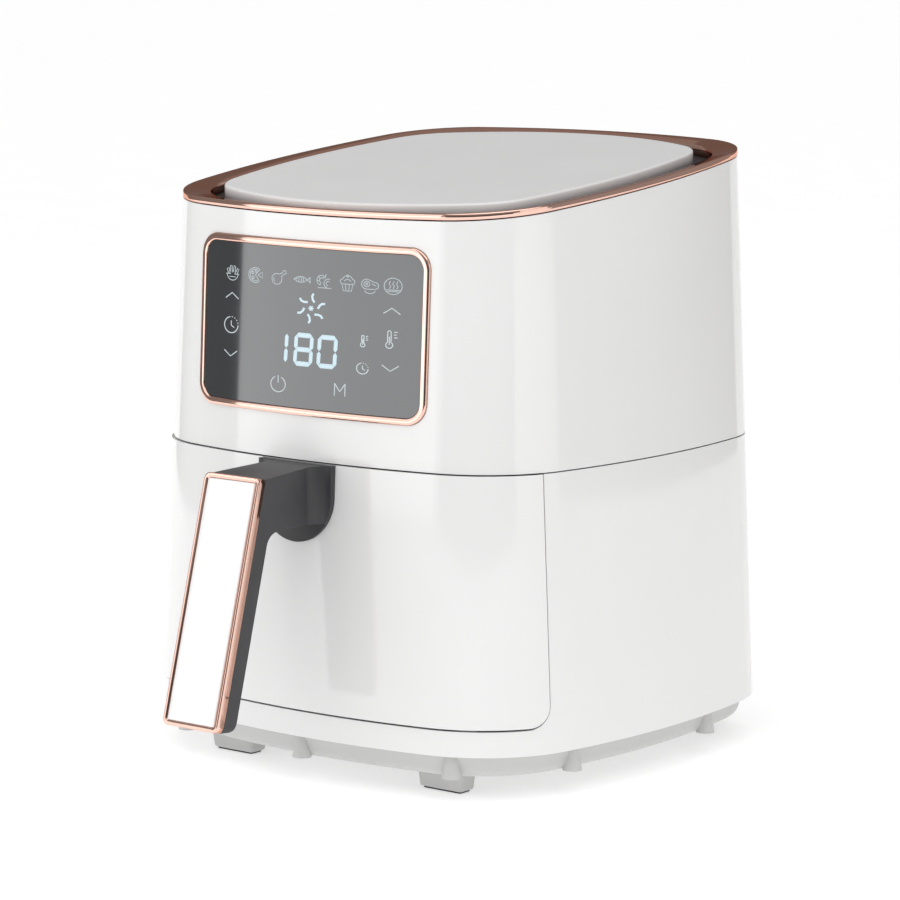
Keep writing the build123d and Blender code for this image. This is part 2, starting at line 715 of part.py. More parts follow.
# ---------------------------------------------------------------- power board and switch
board_low = bulkhead_top + 6.0
board_edge = -fan_radius - 12.0
board_width = 44.0
board_half = 44.0
parts["power_board"] = block((board_edge - board_width, board_edge), (-board_half, board_half),
                             (board_low, board_low + board_thickness))
stands = [post(2.5, board_edge - x, y, (bulkhead_top, board_low))
          for x in (4.0, board_width - 4.0) for y in (4.0 - board_half, board_half - 14.0)]
parts["board_standoffs"] = separate(stands)


def on_board(x, y, height):
    """A boxy component, with x measured from the inner edge of the power board."""
    low = board_low + board_thickness
    return block((board_edge - x[1], board_edge - x[0]), y, (low, low + height))


def capacitor(radius, x, y, height):
    """A round component on the power board."""
    low = board_low + board_thickness
    return post(radius, board_edge - x, y, (low, low + height))


components = [on_board((4, 28), (10, 34), 18), on_board((4, 20), (-14, 6), 15),
              capacitor(6.5, 35, 22, 20), capacitor(4.0, 35, 4, 12),
              on_board((24, 26), (-38, -8), 22), on_board((32, 40), (-36, -12), 9)]
parts["board_components"] = separate(components)

switch_y = (fascia_y[1] + fit, fascia_y[1] + fit + switch_depth)
switch_body = block((switch_x - switch_half_width, switch_x + switch_half_width), switch_y,
                    (switch_z - switch_half_height, switch_z + switch_half_height))
well_end = switch_y[0] + plunger_well
switch_body = switch_body - pin(switch_hole, switch_x, (switch_y[0], well_end), switch_z)
parts["door_switch"] = switch_body
plunger_y = (drawer_rear + slide_gap, well_end - plunger_travel - 0.4)
parts["switch_plunger"] = pin(plunger_radius, switch_x, plunger_y, switch_z)

# ---------------------------------------------------------------- rear gland
gland_sag = front_bulge - math.sqrt(front_bulge ** 2 - gland_x ** 2)
wall_y = half_depth + draft * (seam_z - gland_z) - gland_sag - fit
gland = pin(gland_flange, gland_x, (wall_y, wall_y + 4.5), gland_z) - body(fit, housing_z, seam_z)
gland = gland + pin(gland_radius, gland_x, (wall_y - shell_wall - 5.0, wall_y + 2.0), gland_z)
parts["cord_gland"] = gland - pin(gland_bore, gland_x, rear_room, gland_z)

# ---------------------------------------------------------------- base
tray_top = housing_z + tray_tongue


def tray_face(inset, z):
    """The tray outline at height z, moved inwards by inset; it has no draft of its own."""
    return body_face(tray_offset - inset - draft * (seam_z - z), z)


tray = loft([tray_face(tray_taper, tray_z), tray_face(0, housing_z)], ruled=True)
tray = fillet(tray.edges().group_by(Axis.Z)[0], tray_round)
tray = tray + body(-shell_wall - fit, housing_z - 0.1, tray_top)
inner = -shell_wall - fit - tray_wall
tray = tray - body(inner, housing_z + through, tray_top + through)
tray = tray - loft([tray_face(tray_taper + 2 * tray_wall, tray_z + tray_wall),
                    tray_face(tray_wall, housing_z + through + 0.1)], ruled=True)
rib_line = tray_face(tray_offset + rib_inset, housing_z).outer_wire()
side_arc = rib_line.edges().sort_by(Axis.X)[-1]
side_tip = 1 - side_arc.length / rib_line.length / 2
rib = Pos(0, 0, (tray_z + housing_z) / 2) * Cone(rib_radius, rib_radius - rib_taper, housing_z - tray_z)
for share in rib_shares:
    spot = rib_line.position_at((side_tip + share) % 1)
    tray = tray + Pos(spot.X, spot.Y, 0) * rib
    if abs(spot.X) > rib_radius:
        tray = tray + Pos(-spot.X, spot.Y, 0) * rib
posts = [(sx * post_x, sy * post_y) for sx in (-1, 1) for sy in (-1, 1)]
post_top = bay_floor - sheet - fit
head_z = tray_z + tray_head_room
for x, y in posts:
    tray = tray + post(post_radius, x, y, (tray_z + tray_wall - 0.1, post_top))
    tray = tray - post(post_bore, x, y, (tray_z - through, post_top + through))
    tray = tray - post(tray_screw_head + fit, x, y, (tray_z - through, head_z))
for step in range(-4, 5):
    vent = (step * vent_pitch - vent_width / 2, step * vent_pitch + vent_width / 2)
    vent_z = (tray_z - through, tray_z + tray_wall + through)
    tray = tray - block((-vent_half_length, vent_half_length), vent, vent_z)
parts["base_tray"] = tray

parts["base_screws"] = separate([post(tray_screw, x, y, (head_z, post_top - 1.0))
                                 + post(tray_screw_head, x, y, (tray_z + 0.3, head_z))
                                 for x, y in posts])

feet = []
pads = []
for sx in (-1, 1):
    for sy in (-1, 1):
        place = Pos(sx * foot_x, sy * foot_y, 0)
        sole = RectangleRounded(foot_width - foot_taper, foot_depth - foot_taper, foot_corner)
        root = RectangleRounded(foot_width, foot_depth, foot_corner)
        foot = loft([Pos(0, 0, pad_height) * sole, Pos(0, 0, tray_z) * root], ruled=True)
        feet.append(place * foot)
        pad = RectangleRounded(foot_width - 2 * pad_inset, foot_depth - 2 * pad_inset, foot_corner - 0.5)
        pads.append(place * extrude(pad, pad_height))
parts["feet"] = separate(feet)
parts["foot_pads"] = separate(pads)

# ---------------------------------------------------------------- drawer front
front = shell(drawer_proud, drawer_proud - drawer_wall, drawer_low, drawer_high)
front = front & drawer_space(0)
front_room = body(drawer_proud - drawer_wall + 0.5, drawer_low, drawer_high)
for x in (-screw_x, screw_x):
    front = front + (pin(boss_radius, x, (-far, bracket_y - fit), screw_z) & front_room)
    front = front - pin(screw_radius + 0.1, x, (-far, bracket_y), screw_z)
parts["drawer_front"] = front

back_y = (drawer_rear - 6.0, drawer_rear - 3.0)
back_room = body(drawer_proud - drawer_wall - fit, drawer_low + 2, drawer_high - 2)
back_plate = back_room & drawer_space(-drawer_wall) & block((-far, far), back_y, (0, far))
# the stop that presses the plunger keeps inside the wall of the drawer front
plunger_stop = pin(2 * plunger_radius, switch_x, (back_y[0], drawer_rear), switch_z)
back_plate = back_plate + (plunger_stop & back_room)
pan_slot = pan_half_width + rim_width + 1.0
back_plate = back_plate - block((-pan_slot, pan_slot), (-far, 0), (pan_bottom - fit, far))
parts["drawer_back"] = back_plate


def pan_face(inset, z):
    """The pan outline at height z, moved inwards by inset."""
    lean = pan_draft * (pan_top - z) / (pan_top - pan_bottom)
    width = 2 * (pan_half_width - inset - lean)
    depth = pan_rear - pan_front - 2 * inset - 2 * lean
    outline = RectangleRounded(width, depth, pan_corner - inset - lean)
    return Pos(0, (pan_front + pan_rear) / 2, z) * outline


def pan_block(inset, low, high):
    """The space inside the pan outline between two heights."""
    return loft([pan_face(inset, low), pan_face(inset, high)], ruled=True)


pan_floor = pan_bottom + pan_wall
pan = pan_block(0, pan_bottom, pan_top)
rim = pan_block(-rim_width, rim_z, rim_z + rim_thickness)
pan = pan + rim
pan = pan - pan_block(pan_wall, pan_floor, pan_top + 0.01)
parts["pan"] = pan

hat_z = (screw_z - bracket_drop, rim_z - fit)
hat_x = bracket_half_width
hat = block((-hat_x, hat_x), (bracket_y, bracket_y + bracket_sheet), hat_z)
for sign in (-1, 1):
    leg = sorted((sign * hat_x, sign * (hat_x - bracket_sheet)))
    wing = sorted((sign * (hat_x - bracket_sheet), sign * (hat_x + bracket_wing)))
    hat = hat + block(leg, (bracket_y, pan_front - fit), hat_z)
    hat = hat + block(wing, (pan_front - fit - bracket_sheet, pan_front - fit), hat_z)
for x in (-screw_x, screw_x):
    hat = hat - pin(screw_radius + 0.1, x, (bracket_y, bracket_y + bracket_sheet), screw_z)
parts["pan_bracket"] = hat

# ---------------------------------------------------------------- handle
inner_top_y = grip_back_y + grip_thickness - (face_top - arm_underside) * math.tan(grip_lean)
flange_depth = 8.0
root_y = flange_y + flange_depth / 2
profile = [(root_y, arm_top), (grip_back_y, face_top), (face_foot_y, grip_bottom),
           (face_foot_y + grip_thickness, grip_bottom), (inner_top_y, arm_underside),
           (root_y, arm_underside)]


def corner_at(face, point):
    """The vertices of a flat face that lie at this point."""
    return [v for v in face.vertices() if math.dist((v.X, v.Y), point) < 0.01]


side = make_face(Polyline(*profile, close=True))
side = fillet(corner_at(side, profile[3]), grip_foot_radius)
side = fillet(corner_at(side, profile[4]), armpit_radius)
grip = extrude(Plane.YZ * side, flange_half_width, both=True)
flare_x = arm_half_width + arm_flare * (1 - math.sqrt(0.5))
flare_y = flange_y - arm_flare * (1 - math.sqrt(0.5))
plan = []
for side_x in (-1, 1):
    plan.append(ThreePointArc((side_x * (arm_half_width + arm_flare), flange_y),
                              (side_x * flare_x, flare_y),
                              (side_x * arm_half_width, flange_y - arm_flare)))
    plan.append(Polyline((side_x * arm_half_width, flange_y - arm_flare),
                         (side_x * grip_half_width, grip_back_y),
                         (side_x * grip_half_width, -front_reach), (0, -front_reach)))
    plan.append(Polyline((side_x * (arm_half_width + arm_flare), flange_y),
                         (side_x * (arm_half_width + arm_flare), root_y + 1.0), (0, root_y + 1.0)))
grip = grip & extrude(make_face([edge for line in plan for edge in line.edges()]), far)


def flange_prism(y):
    """The flange seen from the front, square at the top and round below, from y[0] to y[1]."""
    upper_half = block((-flange_half_width, flange_half_width), y, (flange_round_z, arm_top))
    disc = pin(flange_half_width, 0, y, flange_round_z)
    above_middle = block((-far, far), (y[0] - 1, y[1] + 1), (flange_round_z, far))
    return upper_half + (disc - above_middle)


# the flare keeps inside the outline of the flange
neck = (flange_y - arm_flare, root_y + 1.0)
grip = grip - (block((-far, far), neck, (0, far)) - flange_prism(neck))

# the lower corners of the grip are round, like those of its face
face_length = drop_height / math.cos(grip_lean)
face_plane = Plane(origin=(0, (grip_back_y + face_foot_y) / 2, (face_top + grip_bottom) / 2),
                   x_dir=(1, 0, 0), z_dir=(0, -1, math.tan(grip_lean)))
long_outline = RectangleRounded(2 * grip_half_width, 2 * face_length, face_corner)
grip_room = extrude(face_plane * Pos(0, face_length / 2) * long_outline, far, both=True)
below_arm = block((-far, far), (-far - half_depth, flange_y), (0, arm_underside - armpit_radius))
grip = grip - (below_arm - grip_room)

flange = flange_prism((flange_y, flange_y + flange_depth))
handle = grip + flange - body(drawer_proud + 0.1, ledge_z, seam_z + through)
for x in (-screw_x, screw_x):
    handle = handle - pin(screw_radius + 0.05, x, (flange_y - screw_depth - through, 0), screw_z)
parts["handle"] = handle

head_y = bracket_y + bracket_sheet
parts["handle_screws"] = separate([
    pin(screw_radius, x, (flange_y - screw_depth, head_y), screw_z)
    + pin(screw_head, x, (head_y, head_y + screw_head_height), screw_z)
    for x in (-screw_x, screw_x)])

face_outline = RectangleRounded(2 * grip_half_width, face_length, face_corner)
face_hole = RectangleRounded(2 * (grip_half_width - face_border), face_length - 2 * face_border,
                             face_corner - face_border + 0.5)
on_grip = face_plane * Pos(0, 0, 0.05)
parts["handle_frame"] = extrude(on_grip * (face_outline - face_hole), face_depth - 0.05)
parts["handle_insert"] = extrude(on_grip * offset(face_hole, -fit / 2), face_depth - insert_inset)

# ---------------------------------------------------------------- crisper plate
plate_z = pan_floor + plate_lift
plate_inset = pan_wall + plate_gap
crisper = extrude(pan_face(plate_inset, plate_z), plate_thickness)
crisper = crisper + extrude(pan_face(plate_inset, plate_z)
                            - pan_face(plate_inset + plate_rim, plate_z), plate_rim_height)
pan_middle = (pan_front + pan_rear) / 2
hole_reach = min(pan_half_width, (pan_rear - pan_front) / 2) - plate_inset - plate_margin
hole_count = int(hole_reach / plate_pitch)
steps = [step * plate_pitch for step in range(-hole_count, hole_count + 1)]
hole_z = (plate_z, plate_z + plate_thickness)
holes = [post(plate_hole, x, pan_middle + y, hole_z) for x in steps for y in steps
         if math.hypot(x, y) < hole_reach]
crisper = crisper - holes
parts["crisper_plate"] = crisper

foot_spot = 3.5 * plate_pitch
plate_feet = [post(5.0, sx * foot_spot, pan_middle + sy * foot_spot, (pan_floor + 0.3, plate_z))
              for sx in (-1, 1) for sy in (-1, 1)]
parts["plate_feet"] = separate(plate_feet)

# ---------------------------------------------------------------- write the pieces
os.makedirs("parts", exist_ok=True)
for name, piece in parts.items():
    moved = Pos(0, frame_shift, 0) * piece
    export_step(moved, os.path.join("parts", name + ".step"))
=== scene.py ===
# %% [markdown]
# # A drawer fryer in a pale studio
# The CAD model gives every piece its place. This notebook gives the pieces that show their finished
# surfaces: thin moulded shells with soft edges, plated trim, a smoked touch panel and a coated pan. All
# lengths are in metres, and every place is worked out from the boxes of the CAD nodes, so the looks
# follow the design.

# %% Load the frame
import json
import math

import bmesh
import bpy
from mathutils import Matrix, Vector


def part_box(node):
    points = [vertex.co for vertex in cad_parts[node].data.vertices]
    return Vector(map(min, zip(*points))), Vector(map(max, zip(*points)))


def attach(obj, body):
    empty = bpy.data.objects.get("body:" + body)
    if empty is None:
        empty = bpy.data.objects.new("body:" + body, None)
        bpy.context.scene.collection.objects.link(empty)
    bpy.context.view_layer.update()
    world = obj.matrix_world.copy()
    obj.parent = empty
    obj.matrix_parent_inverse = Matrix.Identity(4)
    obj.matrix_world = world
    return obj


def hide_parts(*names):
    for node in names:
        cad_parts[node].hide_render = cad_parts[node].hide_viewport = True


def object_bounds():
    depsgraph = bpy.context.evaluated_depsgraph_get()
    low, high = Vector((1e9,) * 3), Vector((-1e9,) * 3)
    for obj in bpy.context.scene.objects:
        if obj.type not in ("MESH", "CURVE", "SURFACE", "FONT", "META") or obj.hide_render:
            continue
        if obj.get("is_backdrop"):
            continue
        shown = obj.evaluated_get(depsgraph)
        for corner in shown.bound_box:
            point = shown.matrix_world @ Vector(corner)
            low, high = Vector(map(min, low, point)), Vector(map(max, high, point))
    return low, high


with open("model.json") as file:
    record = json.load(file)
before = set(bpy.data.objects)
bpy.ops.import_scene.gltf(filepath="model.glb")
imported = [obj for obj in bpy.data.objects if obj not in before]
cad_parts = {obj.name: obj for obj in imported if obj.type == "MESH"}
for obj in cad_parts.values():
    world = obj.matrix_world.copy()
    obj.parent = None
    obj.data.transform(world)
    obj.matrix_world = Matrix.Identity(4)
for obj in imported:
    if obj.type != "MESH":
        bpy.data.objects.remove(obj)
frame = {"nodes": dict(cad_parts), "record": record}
cad_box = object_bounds()
MM = 0.001

# %% [markdown]
# ## The body's outline
# Seen from above, the body is a rounded rectangle with four bowed sides. It is drawn as eight arcs that
# run smoothly into each other, like the outline a mould maker would cut. Walking along the outline by its
# length gives a point and an outward direction, and every shell below is a surface over that walk. The
# alternative, sculpting a cube, would never match the pieces that have to fit each other at a tenth of a
# millimetre.

# %% Sizes of the body, read from the housings
upper_low, upper_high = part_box("upper_housing")
lower_low, lower_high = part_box("lower_housing")
axis_y = (upper_low.y + upper_high.y) / 2
half_width = upper_high.x
half_depth = upper_high.y - axis_y
seam_z = upper_low.z
housing_z = lower_low.z
draft = (lower_high.x - upper_high.x) / (seam_z - housing_z)
front_bulge = 408 * MM
side_bulge = 456 * MM
corner_radius = 58.5 * MM
top_slope = 0.1079
print("body", round(2 * half_width, 4), "wide,", round(2 * half_depth, 4), "deep, draft", round(draft, 4))


# %% Arcs of a bowed outline
def bowed_arcs(half_x, half_y, bulge_y, bulge_x, corner):
    """The eight arcs from the front centre round to the right: (centre, radius, first angle, turn)."""
    side = Vector((half_x - bulge_x, 0))
    rear = Vector((0, half_y - bulge_y))
    gap = rear - side
    reach = bulge_x - corner
    along = (reach ** 2 - (bulge_y - corner) ** 2 + gap.length_squared) / (2 * gap.length)
    across = math.sqrt(reach ** 2 - along ** 2)
    unit = gap.normalized()
    centre = side + unit * along + Vector((-unit.y, unit.x)) * across
    side_turn = math.atan2(centre.y, centre.x - side.x)
    rear_turn = math.atan2(centre.x, centre.y - rear.y)
    corner_turn = math.pi / 2 - side_turn - rear_turn
    quarter = math.pi / 2
    return [
        (-rear, bulge_y, -quarter, rear_turn),
        (Vector((centre.x, -centre.y)), corner, rear_turn - quarter, corner_turn),
        (side, bulge_x, -side_turn, 2 * side_turn),
        (centre, corner, side_turn, corner_turn),
        (rear, bulge_y, quarter - rear_turn, 2 * rear_turn),
        (Vector((-centre.x, centre.y)), corner, quarter + rear_turn, corner_turn),
        (-side, bulge_x, 2 * quarter - side_turn, 2 * side_turn),
        (-centre, corner, 2 * quarter + side_turn, corner_turn),
        (-rear, bulge_y, 3 * quarter - rear_turn, rear_turn),
    ]


def walk(arcs, length):
    """The point and outward direction at this length along the arcs."""
    whole = sum(radius * turn for _, radius, _, turn in arcs)
    length = length % whole
    for centre, radius, first, turn in arcs:
        if length <= radius * turn:
            angle = first + length / radius
            way = Vector((math.cos(angle), math.sin(angle)))
            return centre + way * radius, way
        length -= radius * turn
    return walk(arcs, 0)


def loop_of(arcs, steps):
    """Evenly shared points and directions once round the arcs, the same number on each arc."""
    found = []
    for index, (centre, radius, first, turn) in enumerate(arcs):
        count = steps // 2 if index in (0, len(arcs) - 1) else steps
        for step in range(count):
            angle = first + turn * step / count
            way = Vector((math.cos(angle), math.sin(angle)))
            found.append((centre + way * radius, way))
    return found


body_arcs = bowed_arcs(half_width, half_depth, front_bulge, side_bulge, corner_radius)
body_length = sum(radius * turn for _, radius, _, turn in body_arcs)
print("once round the seam:", round(body_length, 4), "m")


# %% Points on the drafted body
def body_point(length, z, offset):
    """A point on the body at this length round the seam and this height, moved outwards by offset."""
    point, way = walk(body_arcs, length)
    grow = offset + draft * (seam_z - z)
    return Vector((point.x + way.x * grow, axis_y + point.y + way.y * grow, z))


def front_point(x, z, offset):
    """A point on the bowed front, by its x."""
    grow = offset + draft * (seam_z - z)
    length = front_bulge * math.asin(x / (front_bulge + grow))
    return body_point(length, z, offset)


top_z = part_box("lid_plate")[1].z - top_slope * (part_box("lid_plate")[1].y - axis_y) - 5.0 * MM


def sloped_height(y, rise):
    """The height of the sloping top at this y, raised by rise."""
    return top_z + rise + top_slope * (y - axis_y)


def sloped_point(point, way, rise, offset):
    """The body's outline point carried up to the sloping top."""
    z = top_z
    for _ in range(3):
        grow = offset + draft * (seam_z - z)
        z = sloped_height(axis_y + point.y + way.y * grow, rise)
    return Vector((point.x + way.x * grow, axis_y + point.y + way.y * grow, z))


print("top edge on the body axis:", round(top_z, 4))

# %% [markdown]
# ## Making meshes
# Most shells come from one of two moves. A loft joins closed loops of points, one loop after another, as
# a sheet-metal or moulded rim does. A wrapped sheet is a flat grid of columns and rows laid over the
# body, with an opening where a panel or drawer sits. Both give clean rows of four-sided faces, which bend
# light evenly on a glossy surface. Thickness comes from a Solidify modifier and the soft moulded edges
# from a Bevel modifier.


# %% Mesh helpers
def new_piece(name, points, faces):
    """A smooth-shaded mesh object."""
    mesh = bpy.data.meshes.new(name)
    mesh.from_pydata([tuple(p) for p in points], [], faces)
    mesh.validate()
    mesh.polygons.foreach_set("use_smooth", [True] * len(mesh.polygons))
    piece = bpy.data.objects.new(name, mesh)
    bpy.context.scene.collection.objects.link(piece)
    return piece


def tidy(piece):
    """Merges doubled points and turns every face outwards."""
    shape = bmesh.new()
    shape.from_mesh(piece.data)
    bmesh.ops.remove_doubles(shape, verts=shape.verts, dist=0.005 * MM)
    bmesh.ops.recalc_face_normals(shape, faces=shape.faces)
    shape.to_mesh(piece.data)
    shape.free()
    return piece


def loft(name, loops, ends="open"):
    """Joins closed loops; ends is open, capped or ring, where the last loop meets the first."""
    size = len(loops[0])
    points = [p for loop in loops for p in loop]
    faces = []
    last = len(loops) if ends == "ring" else len(loops) - 1
    for row in range(last):
        a, b = row * size, (row + 1) % len(loops) * size
        for k in range(size):
            n = (k + 1) % size
            faces.append((a + k, a + n, b + n, b + k))
    if ends == "capped":
        faces.append(tuple(range(size))[::-1])
        faces.append(tuple(range((len(loops) - 1) * size, len(loops) * size)))
    return tidy(new_piece(name, points, faces))


def wrapped_sheet(name, columns, rows_of, place, open_at=None, closed=False):
    """A sheet over columns; rows_of gives the heights of a column, and open_at leaves cells out."""
    points = []
    for column in columns:
        points += [place(column, z) for z in rows_of(column)]
    height = len(rows_of(columns[0]))
    faces = []
    for c in range(len(columns) if closed else len(columns) - 1):
        n = (c + 1) % len(columns)
        for r in range(height - 1):
            if not (open_at and open_at(c, r)):
                faces.append((c * height + r, n * height + r, n * height + r + 1, c * height + r + 1))
    piece = new_piece(name, points, faces)
    shape = bmesh.new()
    shape.from_mesh(piece.data)
    loose = [v for v in shape.verts if not v.link_faces]
    bmesh.ops.delete(shape, geom=loose, context="VERTS")
    shape.to_mesh(piece.data)
    shape.free()
    return piece


def thicken(piece, thickness):
    """Gives a sheet its wall, on the inside."""
    solid = piece.modifiers.new("wall", "SOLIDIFY")
    solid.thickness = thickness
    solid.offset = -1
    solid.use_even_offset = True
    return piece


def soften(piece, width, segments=3, angle=35):
    """Rounds the sharp edges."""
    bevel = piece.modifiers.new("soft edges", "BEVEL")
    bevel.width = width
    bevel.segments = segments
    bevel.limit_method = "ANGLE"
    bevel.angle_limit = math.radians(angle)
    bevel.harden_normals = True
    bevel.use_clamp_overlap = True
    return piece


def from_node(node, name):
    """A new piece with the CAD node's shape, its flat faces made whole so that edges can be rounded."""
    mesh = frame["nodes"][node].data.copy()
    mesh.name = name
    piece = bpy.data.objects.new(name, mesh)
    bpy.context.scene.collection.objects.link(piece)
    shape = bmesh.new()
    shape.from_mesh(mesh)
    bmesh.ops.remove_doubles(shape, verts=shape.verts, dist=0.004 * MM)
    bmesh.ops.dissolve_limit(shape, angle_limit=math.radians(0.4), verts=shape.verts, edges=shape.edges)
    for face in shape.faces:
        face.smooth = True
    shape.to_mesh(mesh)
    shape.free()
    return piece


def spread(low, high, count):
    """Evenly spaced values from low to high."""
    return [low + (high - low) * step / count for step in range(count + 1)]


def placed(piece, body, slot, replaced=()):
    """Rides the piece on its body, with its finish and the CAD nodes that it stands for."""
    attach(piece, body)
    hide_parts(*replaced)
    piece.data.materials.clear()
    piece.data.materials.append(finishes[slot])
    return piece


print("mesh helpers ready")

# %% [markdown]
# ## Finishes
# Each finish is one Principled surface with its own noise-driven detail. Three effects are shared as node
# groups: a moulded grain that lifts the surface, a film of handling marks that changes the roughness, and
# a patchy tint. The numbers that hold for a whole surface sit on the Principled sockets themselves.


# %% Shared effects as node groups
def new_group(name, inputs, outputs):
    """An empty shader group with float inputs (name, default) and float outputs."""
    group = bpy.data.node_groups.new(name, "ShaderNodeTree")
    for label, value in inputs:
        socket = group.interface.new_socket(label, in_out="INPUT", socket_type="NodeSocketFloat")
        socket.default_value = value
    for label in outputs:
        group.interface.new_socket(label, in_out="OUTPUT", socket_type="NodeSocketFloat")
    return group, group.nodes.new("NodeGroupInput"), group.nodes.new("NodeGroupOutput")


def noise_in(group, scale, detail, socket):
    """A noise texture over the object's own coordinates, whose scale comes from socket times scale."""
    place = group.nodes.new("ShaderNodeTexCoord")
    times = group.nodes.new("ShaderNodeMath")
    times.operation = "MULTIPLY"
    times.inputs[1].default_value = scale
    group.links.new(socket, times.inputs[0])
    noise = group.nodes.new("ShaderNodeTexNoise")
    noise.inputs["Detail"].default_value = detail
    group.links.new(times.outputs[0], noise.inputs["Scale"])
    group.links.new(place.outputs["Object"], noise.inputs["Vector"])
    return noise.outputs["Fac"]


def ranged(group, value, low, high):
    """value from 0.3..0.7 spread over low..high, where low and high are sockets or numbers."""
    node = group.nodes.new("ShaderNodeMapRange")
    node.inputs["From Min"].default_value = 0.3
    node.inputs["From Max"].default_value = 0.7
    group.links.new(value, node.inputs["Value"])
    for label, end in (("To Min", low), ("To Max", high)):
        if isinstance(end, (int, float)):
            node.inputs[label].default_value = end
        else:
            group.links.new(end, node.inputs[label])
    return node.outputs["Result"]


grain_group, entry, leave = new_group("moulded grain", [("Scale", 1.0)], ["Height"])
fine = noise_in(grain_group, 2600.0, 3.0, entry.outputs["Scale"])
grain_group.links.new(fine, leave.inputs["Height"])

marks_group, entry, leave = new_group(
    "handling marks", [("Scale", 1.0), ("Low", 0.1), ("High", 0.2)], ["Roughness"])
film = noise_in(marks_group, 22.0, 5.0, entry.outputs["Scale"])
marks_group.links.new(ranged(marks_group, film, entry.outputs["Low"], entry.outputs["High"]),
                      leave.inputs["Roughness"])

patch_group, entry, leave = new_group("patchy tint", [("Scale", 1.0)], ["Mask"])
cloud = noise_in(patch_group, 9.0, 4.0, entry.outputs["Scale"])
patch_group.links.new(ranged(patch_group, cloud, 0.0, 1.0), leave.inputs["Mask"])
print("groups:", grain_group.name, marks_group.name, patch_group.name, sep=", ")


# %% One maker for the finishes
def add_group(tree, group, **values):
    """A group node with its own values."""
    node = tree.nodes.new("ShaderNodeGroup")
    node.node_tree = group
    for label, value in values.items():
        node.inputs[label].default_value = value
    return node


def finish(name, light, dark, rough, metallic=0.0, grain=0.0, grain_scale=1.0, coat=0.0,
           coat_rough=0.05, tint_scale=1.0, marks_scale=1.0, edge=(1, 1, 1), level=0.5):
    """A surface whose colour drifts from dark to light and whose roughness drifts over rough."""
    material = bpy.data.materials.new(name)
    material.use_nodes = True
    tree = material.node_tree
    surface = tree.nodes["Principled BSDF"]
    patch = add_group(tree, patch_group, Scale=tint_scale)
    mix = tree.nodes.new("ShaderNodeMix")
    mix.data_type = "RGBA"
    mix.inputs["A"].default_value = (*dark, 1)
    mix.inputs["B"].default_value = (*light, 1)
    tree.links.new(patch.outputs["Mask"], mix.inputs["Factor"])
    tree.links.new(mix.outputs["Result"], surface.inputs["Base Color"])
    marks = add_group(tree, marks_group, Scale=marks_scale, Low=rough[0], High=rough[1])
    tree.links.new(marks.outputs["Roughness"], surface.inputs["Roughness"])
    surface.inputs["Metallic"].default_value = metallic
    surface.inputs["Specular Tint"].default_value = (*edge, 1)
    surface.inputs["Specular IOR Level"].default_value = level
    surface.inputs["Coat Weight"].default_value = coat
    surface.inputs["Coat Roughness"].default_value = coat_rough
    if grain:
        moulded = add_group(tree, grain_group, Scale=grain_scale)
        bump = tree.nodes.new("ShaderNodeBump")
        bump.inputs["Strength"].default_value = grain
        bump.inputs["Distance"].default_value = 0.05 * MM
        tree.links.new(moulded.outputs["Height"], bump.inputs["Height"])
        tree.links.new(bump.outputs["Normal"], surface.inputs["Normal"])
    return material


